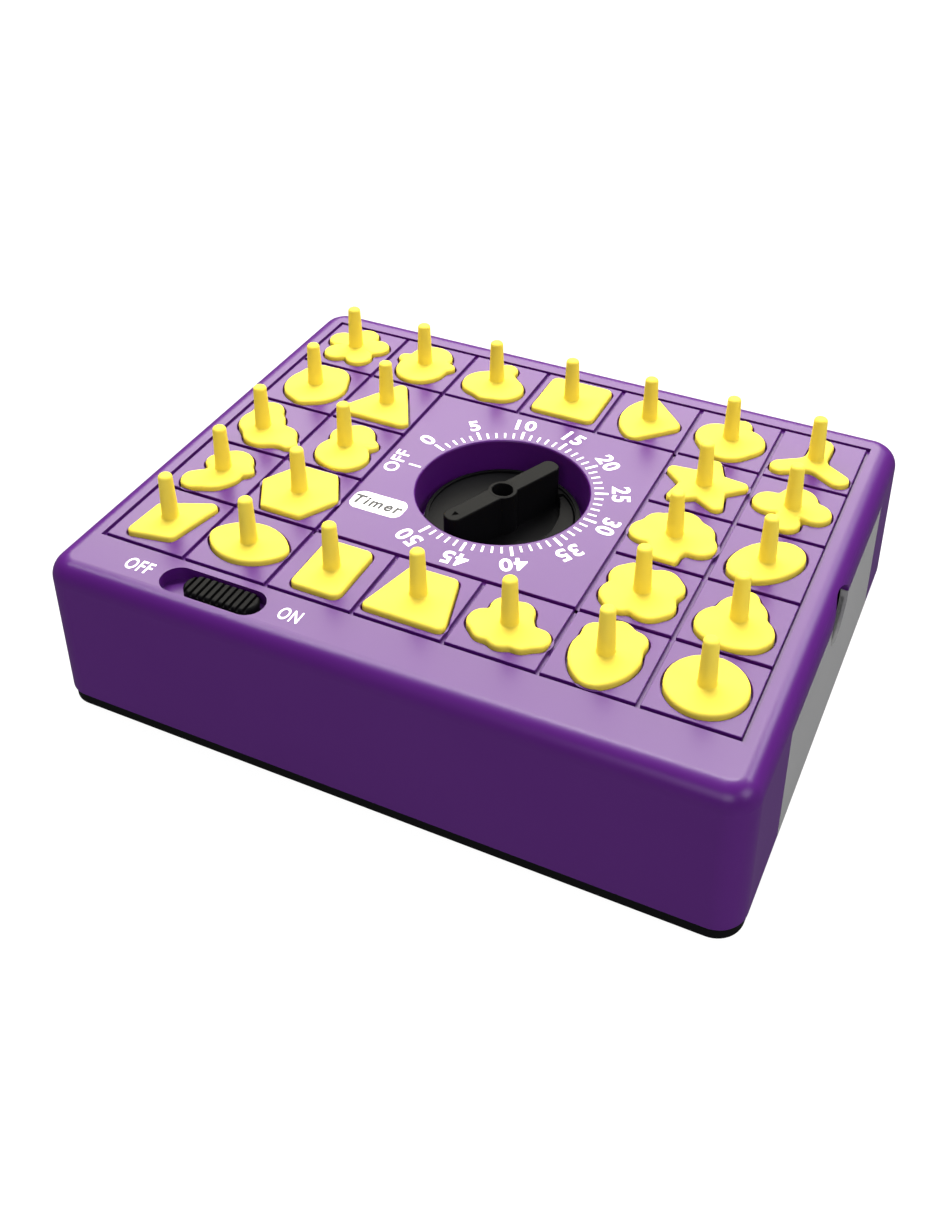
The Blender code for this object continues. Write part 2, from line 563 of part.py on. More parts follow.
def make_knob(finish):
    """Cup knob: a rim ring, a flat shelf on one side and a finger pocket on the other."""
    direction = math.radians(POINTER_ANGLE)
    knob = turned("timer_knob", [(KNOB_RADIUS, KNOB_BOTTOM), (KNOB_RADIUS, KNOB_RIM)], 40, 0.0, 0.0, finish)
    cut(knob, turned("shelf", [(KNOB_RADIUS - 1.4, KNOB_RIM - 0.8), (KNOB_RADIUS - 1.4, 60.0)], 40))
    behind_handle = polygon([(-30.0, 3.0), (30.0, 3.0), (30.0, 30.0), (-30.0, 30.0)], 0.0)
    pocket = traced(meet(1.5, disc(0.0, 0.0, POCKET_RADIUS), behind_handle), 0.0, 30.0, 40, 0.0, 12.0)
    cut(knob, prism("pocket", pocket, KNOB_FLOOR, 60.0))
    wall_ledge = arc_ledge(KNOB_FLOOR - 0.2, KNOB_RIM - 1.0, WALL_LEDGE)
    floor_ledge = arc_ledge(KNOB_FLOOR - 0.2, KNOB_FLOOR + 2.2, FLOOR_LEDGE)
    join(knob, wall_ledge, floor_ledge)
    bar_outline = rounded_rectangle(-HANDLE_HALF, HANDLE_HALF, -HANDLE_WIDTH / 2, HANDLE_WIDTH / 2,
                                    2.6, 3)
    join(knob, prism("handle", bar_outline, KNOB_BOTTOM + 1.0, HEIGHT))
    join(knob, turned("hub", [(HUB_RADIUS, KNOB_BOTTOM + 0.6), (HUB_RADIUS, HEIGHT + 0.2)], 16))
    cut(knob, turned("bore", [(HUB_BORE, 30.0), (HUB_BORE, 70.0)], 12))
    for vertex in knob.data.vertices:
        x, y, z = vertex.co
        vertex.co = (x * math.cos(direction) - y * math.sin(direction) + DIAL_X * MM,
                     x * math.sin(direction) + y * math.cos(direction) + DIAL_Y * MM, z)
    return set_pivot(knob, DIAL_X, DIAL_Y, KNOB_BOTTOM)


def gear_outline(teeth, module, phase, x, y):
    """Slim straight-sided teeth, so that meshed wheels keep backlash all the way round."""
    pitch = 2 * math.pi / teeth
    root, tip = module * (teeth / 2 - 1.1), module * (teeth / 2 + 0.8)
    points = []
    for k in range(teeth):
        middle = phase + k * pitch
        for radius, turn in ((root, -0.27), (tip, -0.10), (tip, 0.10), (root, 0.27)):
            angle = middle + turn * pitch
            points.append((x + radius * math.cos(angle), y + radius * math.sin(angle)))
    return points


def second_axis():
    reach = MAIN_MODULE * (MAIN_TEETH + PINION_TEETH) / 2
    angle = math.radians(SECOND_ANGLE)
    return DIAL_X + reach * math.cos(angle), DIAL_Y + reach * math.sin(angle)


def escape_axis():
    reach = SECOND_MODULE * (SECOND_TEETH + PINION_TEETH) / 2
    angle = math.radians(ESCAPE_ANGLE)
    x, y = second_axis()
    return x + reach * math.cos(angle), y + reach * math.sin(angle)


def pallet_axis():
    x, y = escape_axis()
    return x, y - PALLET_DROP


def meshing_phase(direction, teeth):
    """The follower's gap faces the driver's tooth."""
    return direction + math.pi + math.pi / teeth


def bored(piece, radius, x, y, segments=12):
    return cut(piece, turned("bore", [(radius, 0.0), (radius, 70.0)], segments, x, y))


def pivoted_arbor(x, y):
    """An arbor with a thinner pivot in each plate."""
    pivot, body = 0.9, 1.5
    low, high = LOWER_PLATE[1] + TOUCH, UPPER_PLATE[0] - TOUCH
    profile = [(pivot, LOWER_PLATE[0] + 0.2), (pivot, low), (body, low),
               (body, high), (pivot, high), (pivot, UPPER_PLATE[1] - 0.2)]
    return turned("arbor", profile, 8, x, y)


def make_timer(steel, brass, black):
    plate_outline = rounded_rectangle(-46.0, 33.0, -25.0, 35.0, 5.0, 3)
    lower = prism("timer_lower_plate", plate_outline, *LOWER_PLATE, steel)
    upper = prism("timer_upper_plate", plate_outline, *UPPER_PLATE, steel)
    for x, y in PILLARS:
        join(lower, turned("pillar", [(3.0, 9.0), (3.0, UPPER_PLATE[0] - TOUCH)], 10, x, y))
        cut(lower, turned("bore", [(1.6, 0.0), (1.6, 18.0)], 8, x, y))
    for x in GUIDE_PINS:
        join(upper, turned("pin", [(1.0, UPPER_PLATE[0] + 1.0), (1.0, 37.0)], 8, x, DIAL_Y))
    for plate in (lower, upper):
        for x, y in (second_axis(), escape_axis(), pallet_axis()):
            bored(plate, 1.3, x, y, 8)
    bored(upper, ARBOR_RADIUS + 0.4, DIAL_X, DIAL_Y)
    bored(lower, 1.9, DIAL_X, DIAL_Y, 8)
    arbor = turned("main_arbor", [(1.5, LOWER_PLATE[0]), (1.5, LOWER_PLATE[1] + TOUCH),
                                  (ARBOR_RADIUS, LOWER_PLATE[1] + TOUCH), (ARBOR_RADIUS, 50.0)],
                   12, DIAL_X, DIAL_Y, steel)
    set_pivot(arbor, DIAL_X, DIAL_Y, LOWER_PLATE[0])
    angle = math.radians(SECOND_ANGLE)
    teeth = gear_outline(MAIN_TEETH, MAIN_MODULE, angle, DIAL_X, DIAL_Y)
    main = prism("main_wheel", teeth, 20.0, 21.6, brass)
    bored(main, ARBOR_RADIUS + TOUCH, DIAL_X, DIAL_Y)
    set_pivot(main, DIAL_X, DIAL_Y, 20.0)
    x, y = second_axis()
    pinion = gear_outline(PINION_TEETH, MAIN_MODULE, meshing_phase(angle, PINION_TEETH), x, y)
    second = prism("second_wheel", pinion, 19.3, 22.3, brass)
    onward = math.radians(ESCAPE_ANGLE)
    join(second, pivoted_arbor(x, y),
         prism("wheel", gear_outline(SECOND_TEETH, SECOND_MODULE, onward, x, y), 25.0, 26.4))
    set_pivot(second, x, y, 25.0)
    x, y = escape_axis()
    pinion = gear_outline(PINION_TEETH, SECOND_MODULE, meshing_phase(onward, PINION_TEETH), x, y)
    escape = prism("escape_wheel", pinion, 24.2, 27.2, brass)
    ratchet = []
    for k in range(ESCAPE_TEETH):
        start = 2 * math.pi * k / ESCAPE_TEETH
        for radius, turn in ((ESCAPE_RADIUS - 1.8, 0.0), (ESCAPE_RADIUS, 0.08), (ESCAPE_RADIUS, 0.16)):
            angle = start + turn
            ratchet.append((x + radius * math.cos(angle), y + radius * math.sin(angle)))
    join(escape, pivoted_arbor(x, y), prism("ratchet", ratchet, 12.0, 13.4))
    set_pivot(escape, x, y, 12.0)
    make_pallet(steel)
    make_mainspring(steel)
    make_cam_and_catch(steel, black)


def make_pallet(finish):
    """Anchor with two pallets just outside the escape wheel's teeth, and a tail for the brake."""
    x, y = pallet_axis()
    wheel_x, wheel_y = escape_axis()
    reach = ESCAPE_RADIUS + 1.3
    spread = math.radians(50)
    tips = [(wheel_x + side * reach * math.sin(spread), wheel_y - reach * math.cos(spread))
            for side in (-1, 1)]
    pallet = turned("pallet", [(2.4, 12.0), (2.4, 13.4)], 10, x, y, finish)
    for tip_x, tip_y in tips:
        dx, dy = tip_x - x, tip_y - y
        length = math.hypot(dx, dy)
        nx, ny = -dy / length * 0.8, dx / length * 0.8
        arm = [(x - nx, y - ny), (tip_x - nx, tip_y - ny), (tip_x + nx, tip_y + ny), (x + nx, y + ny)]
        join(pallet, prism("arm", arm, 12.0, 13.4))
    join(pallet, block("tail", (x - 0.9, y - 13.0, 12.0), (x + 0.9, y, 13.4)), pivoted_arbor(x, y))
    return set_pivot(pallet, x, y, 12.0)


def make_mainspring(finish):
    """A flat spiral ribbon round the arbor."""
    turns, steps, half = 4, 16, 0.25
    first, last = 4.2, 14.6
    rings = []
    for k in range(turns * steps + 1):
        angle = 2 * math.pi * k / steps
        radius = first + (last - first) * k / (turns * steps)
        inner, outer = radius - half, radius + half
        ribbon = [(inner, 11.0), (outer, 11.0), (outer, 18.0), (inner, 18.0)]
        rings.append([(DIAL_X + r * math.cos(angle), DIAL_Y + r * math.sin(angle), z)
                      for r, z in ribbon])
    return loft("mainspring", rings, finish)


def make_cam_and_catch(steel, black):
    """The cam's dip faces the catch when the pointer is at OFF."""
    dip = math.radians(POINTER_ANGLE)
    outline = []
    for k in range(32):
        angle = 2 * math.pi * k / 32
        away = abs((angle - dip + math.pi) % (2 * math.pi) - math.pi)
        radius = 11.0 if away > 0.45 else 7.0
        outline.append((DIAL_X + radius * math.cos(angle), DIAL_Y + radius * math.sin(angle)))
    cam = prism("release_cam", outline, 34.3, 36.1, black)
    bored(cam, ARBOR_RADIUS + TOUCH, DIAL_X, DIAL_Y)
    set_pivot(cam, DIAL_X, DIAL_Y, 34.3)
    catch = block("catch_slide", (-49.6, DIAL_Y - 4.0, 34.3), (-12.8, DIAL_Y + 4.0, 36.1), steel)
    for x in GUIDE_PINS:
        cut(catch, prism("slot", stadium(5.4, 2.8, x + 0.8, DIAL_Y, 3), 30.0, 40.0))
    return set_pivot(catch, -49.6, DIAL_Y, 34.3)


# Switch and drawer

def make_switch(black, steel):
    x = SLOT_X + SLIDER_TRAVEL / 2
    slider = prism("switch_slider", stadium(SLIDER_LENGTH, SLIDER_WIDTH, x, SLOT_Y),
                   SLOT_FLOOR + TOUCH, HEIGHT + 0.4, black)
    for k in range(RIBS + 1):
        middle = x + (k - RIBS / 2) * RIB_PITCH
        cut(slider, block("groove", (middle - 0.5, SLOT_Y - 10.0, HEIGHT - 0.8),
                          (middle + 0.5, SLOT_Y + 10.0, ABOVE)))
    join(slider, block("stem", (x - 2.0, SLOT_Y - 1.7, 43.3),
                       (x + 2.0, SLOT_Y + 1.7, SLOT_FLOOR + 1.0)))
    set_pivot(slider, x, SLOT_Y, SLOT_FLOOR)
    tail_x, tail_y = pallet_axis()
    end_y = tail_y - 11.5
    finger = tail_x + 8.0
    bent_strip = [(x - 4.0, SLOT_Y - 4.0), (x + 4.0, SLOT_Y - 4.0), (x + 4.0, end_y - 6.0),
                  (finger + 2.0, end_y - 6.0), (finger + 2.0, end_y + 1.0), (x - 4.0, end_y + 1.0)]
    link = prism("stop_link", bent_strip, 41.5, 43.0, steel)
    join(link, block("finger", (finger - 0.5, end_y - 4.0, 11.5), (finger + 1.5, end_y + 1.0, 42.0)))
    set_pivot(link, x, SLOT_Y, 41.5)


def make_drawer(finish):
    y0, y1 = DIAL_Y - DRAWER_WIDTH / 2, DIAL_Y + DRAWER_WIDTH / 2
    face = WIDTH / 2
    drawer = block("storage_drawer", (DRAWER_END, y0 + 1.0, CASE_BOTTOM),
                   (face - 1.0, y1 - 1.0, DRAWER_TOP), finish)
    join(drawer, block("front", (face - PANEL_THICK, y0, CASE_BOTTOM), (face, y1, PANEL_TOP)))
    wall = DRAWER_WALL
    divider = face - 11.0
    bin_space = block("bin", (DRAWER_END + wall, y0 + 1.0 + wall, CASE_BOTTOM + wall),
                      (divider - wall, y1 - 1.0 - wall, ABOVE))
    grip = block("grip", (divider, y0 + 1.0 + wall, CASE_BOTTOM + wall),
                 (face - PANEL_THICK, y1 - 1.0 - wall, ABOVE))
    cut(drawer, bin_space, grip, finger_notch())
    return set_pivot(drawer, face, DIAL_Y, CASE_BOTTOM)


def main():
    for old in list(bpy.data.objects):
        bpy.data.objects.remove(old)
    purple = material("purple_plastic", (0.16, 0.035, 0.33), 0.22)
    yellow = material("yellow_plastic", (1.0, 0.83, 0.08), 0.35)
    black = material("black_plastic", (0.012, 0.012, 0.013), 0.35)
    grey = material("grey_plastic", (0.24, 0.24, 0.24), 0.45)
    steel = material("steel", (0.6, 0.6, 0.62), 0.3, 1.0)
    brass = material("brass", (0.75, 0.55, 0.2), 0.3, 1.0)
    make_case(purple)
    make_base(black)
    make_tray(purple)
    for name, (column, row, distance) in PIECES.items():
        make_piece(name, column, row, distance, yellow)
    for k, (x, y) in enumerate(post_places(), 1):
        make_spring(f"tray_spring_{k}", x, y, steel)
    make_dial_panel(purple)
    make_knob(black)
    make_timer(steel, brass, black)
    make_switch(black, steel)
    make_drawer(grey)
    for k, (x, y) in enumerate(case_screw_places(), 1):
        make_screw(f"case_screw_{k}", x, y, steel)
    for k, (x, y) in enumerate(PILLARS, 1):
        make_screw(f"movement_screw_{k}", x, y, steel)


main()
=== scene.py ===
"""Looks of a shape-matching game with a wind-up timer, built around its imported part.

Lengths are in millimetres and are turned into metres where a mesh is made. The frame's nodes
keep their places, and each piece made here rides on the body of the node that it stands for.
"""

import json
import math

import bmesh
import bpy
from mathutils import Matrix, Vector

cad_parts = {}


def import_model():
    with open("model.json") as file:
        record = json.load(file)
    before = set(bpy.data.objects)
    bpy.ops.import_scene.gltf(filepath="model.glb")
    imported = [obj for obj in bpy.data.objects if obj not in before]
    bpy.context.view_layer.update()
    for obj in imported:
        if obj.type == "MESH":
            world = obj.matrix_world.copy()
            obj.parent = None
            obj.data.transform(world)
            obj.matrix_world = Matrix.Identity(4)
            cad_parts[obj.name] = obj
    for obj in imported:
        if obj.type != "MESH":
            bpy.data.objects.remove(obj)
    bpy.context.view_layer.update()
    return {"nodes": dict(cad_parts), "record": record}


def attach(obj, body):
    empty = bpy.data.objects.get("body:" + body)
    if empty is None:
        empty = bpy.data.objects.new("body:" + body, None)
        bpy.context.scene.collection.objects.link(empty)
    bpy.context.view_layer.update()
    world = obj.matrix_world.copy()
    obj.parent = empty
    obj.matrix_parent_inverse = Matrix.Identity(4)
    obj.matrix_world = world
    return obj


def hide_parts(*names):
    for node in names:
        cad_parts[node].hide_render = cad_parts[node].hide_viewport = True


MM = 0.001

# Board of square cells, and the box round it
CELL = 30.0
COLUMNS, ROWS = 7, 5
SIDE_MARGIN, FRONT_MARGIN, BACK_MARGIN = 9.5, 21.0, 11.0
HEIGHT = 56.0
CORNER_RADIUS, TOP_EDGE_RADIUS = 9.4, 6.8
WALL, TOP_SKIN = 2.4, 2.8
LINE = 1.3                      # width of the grooves between the cells
WIDTH = COLUMNS * CELL + 2 * SIDE_MARGIN
DEPTH = ROWS * CELL + FRONT_MARGIN + BACK_MARGIN
CASE_BOTTOM, BASE_TOP, BASE_INSET, BASE_FLOOR = 4.6, 3.8, 0.75, 2.2
GRID_LEFT = -COLUMNS * CELL / 2
GRID_FRONT = -DEPTH / 2 + FRONT_MARGIN
GRID_RIGHT, GRID_BACK = GRID_LEFT + COLUMNS * CELL, GRID_FRONT + ROWS * CELL
DIAL_X, DIAL_Y = 0.0, GRID_FRONT + ROWS * CELL / 2
ISLAND = 3 * CELL
SCREW_HEAD_RADIUS, SCREW_RADIUS = 3.3, 1.7

# Where cutting tools start or end: over everything, inside the case, and beyond its right side
ABOVE, INSIDE, BESIDE = 80.0, 30.0, 130.0

# Tray and pieces
TRAY_THICK, POCKET_DEPTH, PLATE_THICK, PLATE_PROUD = 4.8, 2.8, 4.0, 1.5
SKIRT, SKIRT_BOTTOM, GROOVE_DEPTH = 1.6, 45.0, 1.3
POCKET_CLEARANCE = 0.55
PLATE_EDGE = 1.1
PEG_HEIGHT, PEG_FOOT, PEG_TOP = 16.2, 2.8, 2.3
POST_X, POST_DY, POST_TOP = 94.0, 64.0, 34.0
PIN_RADIUS, PIN_END = 2.0, 24.0
SOFT = 0.3                      # radius of the small roundings on moulded edges
LEDGE_DEPTH, LEDGE_CLEARANCE = 2.4, 0.15
LUG_X, LUG_BOTTOM, LUG_HALF = (-56.0, -50.0), 30.5, 6.0
WINDOW_HALF, WINDOW_HEIGHTS = 4.4, (33.8, 36.8)

# Timer
WELL_RADIUS, WELL_WALL, WELL_FLOOR, WELL_FLOOR_THICK, WELL_LIP = 29.0, 1.8, 39.0, 1.8, 0.8
KNOB_RADIUS, KNOB_BOTTOM, KNOB_RIM, KNOB_FLOOR = 26.2, 39.6, 46.0, 41.0
SHELF_DROP, FINGER_RADIUS, POCKET_START = 0.8, 24.4, 3.0
HANDLE_HALF, HANDLE_WIDTH, HUB_RADIUS, HUB_BORE = 24.0, 6.8, 5.0, 3.6
POINTER_ANGLE = -114.5          # degrees, the pointer at rest, at 50 on the dial
# Ledges in the finger pocket: degrees, inner radius, outer radius
WALL_LEDGE = [(40.0, 20.0, 24.0), (75.0, 18.4, 24.0), (100.0, 17.8, 24.0), (125.0, 17.8, 24.0),
              (150.0, 19.5, 24.0), (168.0, 22.0, 24.0)]
FLOOR_LEDGE = [(20.0, 19.2, 19.7), (45.0, 14.0, 19.0), (75.0, 11.9, 18.0), (101.0, 15.4, 17.4),
               (122.0, 17.2, 17.5)]
ARBOR_CLEARANCE = 3.6
UPPER_PLATE_TOP = 33.3
PILLARS = [(-40.0, -19.0), (-40.0, 29.0), (27.0, -19.0), (27.0, 29.0)]
LOWER_PLATE_BOTTOM = 8.0

# Switch and drawer
SLOT_X, SLOT_Y, SLOT_LENGTH, SLOT_WIDTH, SLOT_FLOOR = -57.6, -78.9, 36.5, 11.5, 51.5
SLIDER_LENGTH, SLIDER_WIDTH, SLIDER_TRAVEL = 25.7, 8.8, 6.2
RIBS, RIB_PITCH = 9, 2.35
DRAWER_WIDTH, DRAWER_TOP, DRAWER_END, DRAWER_WALL = 114.0, 43.5, 43.0, 1.8
BAY_START, GRIP_SPACE = 80.0, 11.0
PANEL_TOP, PANEL_THICK = 46.1, 2.4
NOTCH_Y, NOTCH_Z, NOTCH_HALF_WIDTH, NOTCH_HALF_HEIGHT = 4.0, 44.5, 10.5, 9.0
TOUCH = 0.3                     # room kept between parts that touch in the real object

# Printed dial: degrees for value 0, degrees for each unit, and radii
DIAL_START, DIAL_STEP, DIAL_TOP_VALUE = 156.5, -5.42, 50
TICK_INNER, TICK_MINOR, TICK_MAJOR, NUMBER_RADIUS = 30.6, 33.6, 35.1, 39.3
PRINT_LIFT, PRINT_THICK = 0.01, 0.04
LABEL_X, LABEL_Y, LABEL_HALF_WIDTH, LABEL_HALF_HEIGHT = -33.4, DIAL_Y - 24.6, 9.6, 4.65
SWITCH_WORDS_Y = -78.5

# Points on each ring: a multiple of eight, so that square cells keep their corners
AROUND = 144

# Studio, in metres and watts. Each light: name, place, target, width, height, power, colour
WHITE, WARM = (1.0, 1.0, 1.0), (1.0, 0.97, 0.85)
MIDDLE = (0.0, 0.0, 0.05)
LIGHTS = [
    ("upper_back", (-0.24, 0.63, 0.90), MIDDLE, 1.25, 0.50, 15.5, WARM),
    ("low_back", (-0.40, 0.86, 0.62), MIDDLE, 1.2, 0.30, 10.0, WARM),
    ("overhead", (-0.30, 0.32, 1.04), (0.0, 0.0, 0.0), 1.3, 0.15, 14.0, WHITE),
    ("back_right", (0.50, 0.72, 0.74), MIDDLE, 0.45, 0.20, 4.0, WHITE),
    ("front_top", (0.25, -0.95, 0.80), MIDDLE, 0.7, 0.5, 4.5, WHITE),
    ("right_fill", (0.95, -0.10, 0.70), (0.0, 0.0, 0.03), 0.5, 0.5, 4.0, WHITE),
]
SURROUND, PAPER_SHADE, PAPER_GLOW, FLOOR_REACH = 0.12, 0.12, 0.95, 6.0


# Outlines

def circle(radius, segments, x=0.0, y=0.0):
    step = 2 * math.pi / segments
    return [(x + radius * math.cos(k * step), y + radius * math.sin(k * step))
            for k in range(segments)]


def rounded_rectangle(x0, x1, y0, y1, radius, steps=12):
    corners = [(x1, y1, 0), (x0, y1, 90), (x0, y0, 180), (x1, y0, 270)]
    points = []
    for cx, cy, start in corners:
        mx = cx - radius if cx == x1 else cx + radius
        my = cy - radius if cy == y1 else cy + radius
        for k in range(steps + 1):
            angle = math.radians(start + 90 * k / steps)
            points.append((mx + radius * math.cos(angle), my + radius * math.sin(angle)))
    return points


def square_ring(half, x, y):
    """A square as points at even angles about its middle."""
    points = []
    for ux, uy in circle(1.0, AROUND):
        reach = half / max(abs(ux), abs(uy))
        points.append((x + reach * ux, y + reach * uy))
    return points


# Outlines of the loose pieces, as distance functions in cell units about the cell's middle

def disc(x, y, radius):
    return lambda px, py: math.hypot(px - x, py - y) - radius


def bar(x0, y0, x1, y1, radius):
    dx, dy = x1 - x0, y1 - y0

    def distance(px, py):
        along = ((px - x0) * dx + (py - y0) * dy) / (dx * dx + dy * dy)
        along = min(1.0, max(0.0, along))
        return math.hypot(px - x0 - along * dx, py - y0 - along * dy) - radius
    return distance


def polygon(points, rounding):
    """Distance to a polygon that is drawn in by the rounding and then grown back."""
    def distance(px, py):
        nearest, inside = 9.0, False
        for (ax, ay), (bx, by) in zip(points, points[1:] + points[:1]):
            ex, ey = bx - ax, by - ay
            along = ((px - ax) * ex + (py - ay) * ey) / (ex * ex + ey * ey)
            along = min(1.0, max(0.0, along))
            nearest = min(nearest, math.hypot(px - ax - along * ex, py - ay - along * ey))
            if (ay > py) != (by > py) and px < ax + (py - ay) / (by - ay) * ex:
                inside = not inside
        return (-nearest if inside else nearest) - rounding
    return distance


def star(points, outer, inner, rounding):
    corners = []
    for k in range(2 * points):
        radius = inner if k % 2 else outer
        angle = math.radians(90.0 + 180.0 * k / points)
        corners.append((radius * math.cos(angle), radius * math.sin(angle)))
    return polygon(corners, rounding)


def meet(rounding, *parts):
    """The overlap of parts, each drawn in and grown back so that its corners are round."""
    def distance(px, py):
        depths = [part(px, py) + rounding for part in parts]
        if max(depths) <= 0:
            return max(depths) - rounding
        return math.sqrt(sum(max(0.0, d) ** 2 for d in depths)) - rounding
    return distance


def blend(softness, *parts):
    """The union of parts with a small fillet in each inner corner."""
    def distance(px, py):
        values = sorted(part(px, py) for part in parts)
        near, far = values[0], values[1]
        mix = max(0.0, softness - (far - near)) / softness
        return near - mix * mix * softness / 4
    return distance


def tilted_ellipse(x, y, half_length, half_width, degrees):
    ca, sa = math.cos(math.radians(degrees)), math.sin(math.radians(degrees))

    def distance(px, py):
        u = ((px - x) * ca + (py - y) * sa) / half_length
        v = ((py - y) * ca - (px - x) * sa) / half_width
        return (math.hypot(u, v) - 1.0) * half_width
    return distance


def lobes(count, reach, radius, turn):
    angles = [math.radians(turn + 360.0 * k / count) for k in range(count)]
    return [disc(reach * math.cos(a), reach * math.sin(a), radius) for a in angles]


# Each piece: column, row (from the front left), outline
PIECES = {
    "piece_rhombus": (0, 0, polygon(
        [(-0.19, 0.10), (0.29, 0.31), (0.17, -0.25), (-0.22, -0.32)], 0.08)),
    "piece_lens": (1, 0, meet(0.07, disc(0.0, -0.22, 0.53), disc(0.0, 0.20, 0.53))),
    "piece_block": (2, 0, polygon(
        [(-0.19, -0.31), (0.20, -0.31), (0.20, 0.30), (-0.19, 0.30)], 0.09)),
    "piece_trapezoid": (3, 0, polygon(
        [(-0.38, -0.33), (0.39, -0.33), (0.22, 0.30), (-0.22, 0.30)], 0.07)),
    "piece_cloud": (4, 0, blend(
        0.05, disc(-0.14, 0.19, 0.15), disc(0.03, 0.19, 0.15), disc(-0.24, -0.07, 0.18),
        disc(0.32, -0.10, 0.15), disc(-0.17, -0.20, 0.13), disc(0.02, -0.22, 0.15),
        disc(0.21, -0.20, 0.13), disc(0.02, -0.03, 0.24))),
    "piece_acorn": (5, 0, blend(
        0.05, disc(-0.20, 0.24, 0.13), disc(0.0, 0.29, 0.16), disc(0.19, 0.26, 0.14),
        meet(0.06, disc(-0.20, 0.02, 0.54), disc(0.20, 0.02, 0.54), disc(0.0, -0.20, 0.45)),
        meet(0.06, disc(-0.20, 0.0, 0.54), disc(0.20, 0.0, 0.54)))),
    "piece_round": (6, 0, disc(0.0, -0.01, 0.405)),
    "piece_boot": (0, 1, blend(
        0.05, disc(0.03, 0.13, 0.24), disc(-0.14, 0.09, 0.14), bar(0.1, 0.12, 0.26, 0.06, 0.09),
        disc(0.05, -0.10, 0.22), bar(0.02, -0.22, -0.17, -0.30, 0.17))),
    "piece_hexagon": (1, 1, polygon(circle(0.44, 6), 0.04)),
    "piece_clover": (5, 1, blend(
        0.05, bar(0.14, 0.20, 0.20, 0.14, 0.20), bar(-0.14, 0.20, -0.20, 0.14, 0.20),
        bar(0.14, -0.20, 0.20, -0.14, 0.20), bar(-0.14, -0.20, -0.20, -0.14, 0.20),
        disc(0.0, 0.0, 0.20))),
    "piece_bell": (6, 1, blend(
        0.04, disc(0.0, 0.32, 0.12), disc(0.0, 0.10, 0.255), disc(-0.12, -0.15, 0.275),
        disc(0.12, -0.15, 0.275), disc(0.0, -0.17, 0.29))),
    "piece_moon": (0, 2, blend(
        0.05, disc(-0.19, 0.22, 0.19), bar(-0.12, 0.10, -0.02, 0.10, 0.11),
        disc(-0.13, -0.02, 0.27), disc(0.03, -0.19, 0.26), disc(0.22, -0.17, 0.20),
        bar(0.25, -0.22, 0.40, -0.27, 0.10))),
    "piece_gourd": (1, 2, blend(
        0.04, disc(0.03, 0.20, 0.22), disc(-0.09, 0.15, 0.18), bar(0.12, 0.20, 0.28, 0.10, 0.09),
        disc(0.02, -0.16, 0.29), disc(0.12, -0.21, 0.27))),
    "piece_tree": (5, 2, blend(
        0.05, disc(0.01, 0.19, 0.24), disc(-0.20, 0.12, 0.19), disc(0.21, 0.12, 0.19),
        disc(-0.29, -0.06, 0.19), disc(0.29, -0.06, 0.19), disc(0.0, -0.08, 0.26),
        polygon([(-0.14, -0.40), (0.11, -0.40), (0.11, -0.1), (-0.14, -0.1)], 0.06))),
    "piece_ellipse": (6, 2, tilted_ellipse(0.0, -0.02, 0.45, 0.295, 50.0)),
    "piece_lemon": (0, 3, blend(
        0.05, disc(0.02, -0.04, 0.385), disc(0.10, 0.20, 0.225), disc(-0.08, 0.19, 0.225),
        disc(0.03, -0.36, 0.09))),
    "piece_triangle": (1, 3, polygon([(0.01, 0.33), (0.37, -0.32), (-0.37, -0.32)], 0.08)),
    "piece_star": (5, 3, star(5, 0.41, 0.19, 0.08)),
    "piece_club": (6, 3, blend(
        0.06, disc(0.02, 0.15, 0.22), disc(-0.25, -0.01, 0.19), disc(0.25, -0.01, 0.18),
        disc(0.0, 0.0, 0.20), disc(0.0, -0.29, 0.16))),
    "piece_flower": (0, 4, blend(0.04, *lobes(5, 0.265, 0.165, 90.0), disc(0.0, 0.0, 0.2))),
    "piece_helmet": (1, 4, blend(
        0.05, disc(0.01, 0.14, 0.275), disc(0.01, -0.13, 0.315), disc(-0.29, 0.03, 0.09),
        disc(0.31, 0.02, 0.09))),
    "piece_pear": (2, 4, blend(
        0.06, disc(0.02, 0.28, 0.13), disc(-0.13, -0.11, 0.265), disc(0.13, -0.14, 0.27),
        disc(0.0, -0.02, 0.26), disc(0.0, -0.31, 0.13))),
    "piece_square": (3, 4, polygon(
        [(-0.30, -0.30), (0.31, -0.30), (0.31, 0.30), (-0.30, 0.30)], 0.09)),
    "piece_fan": (4, 4, meet(
        0.08, disc(0.20, -0.02, 0.54),
        polygon([(-0.534, 0.77), (0.266, -0.03), (-0.534, -0.83)], 0.12))),
    "piece_apple": (5, 4, blend(
        0.05, disc(-0.14, -0.02, 0.27), disc(0.14, -0.02, 0.27), disc(0.0, -0.12, 0.32),
        disc(0.05, 0.30, 0.12))),
    "piece_three_arm": (6, 4, blend(
        0.08, bar(0.0, -0.09, 0.01, 0.30, 0.125), bar(0.0, -0.09, -0.33, -0.29, 0.12),
        bar(0.0, -0.09, 0.33, -0.29, 0.12))),
}


# Where a peg stands off its cell's middle, in millimetres
PEG_OFFSETS = {"piece_moon": (-1.8, -2.7)}


def traced(distance, level, reach, samples, x=0.0, y=0.0):
    """Where rays from (x, y), no longer than reach, meet the given distance level."""
    points = []
    for ux, uy in circle(1.0, samples):
        low, high = 0.0, reach
        for _ in range(24):
            middle = (low + high) / 2
            if distance(x + middle * ux, y + middle * uy) < level:
                low = middle
            else:
                high = middle
        points.append((x + low * ux, y + low * uy))
    return points


def piece_ring(distance, x, y, grow):
    """A piece's outline in millimetres round (x, y), grown outwards by grow."""
    return [(x + u * CELL, y + v * CELL) for u, v in traced(distance, grow / CELL, 0.8, AROUND)]


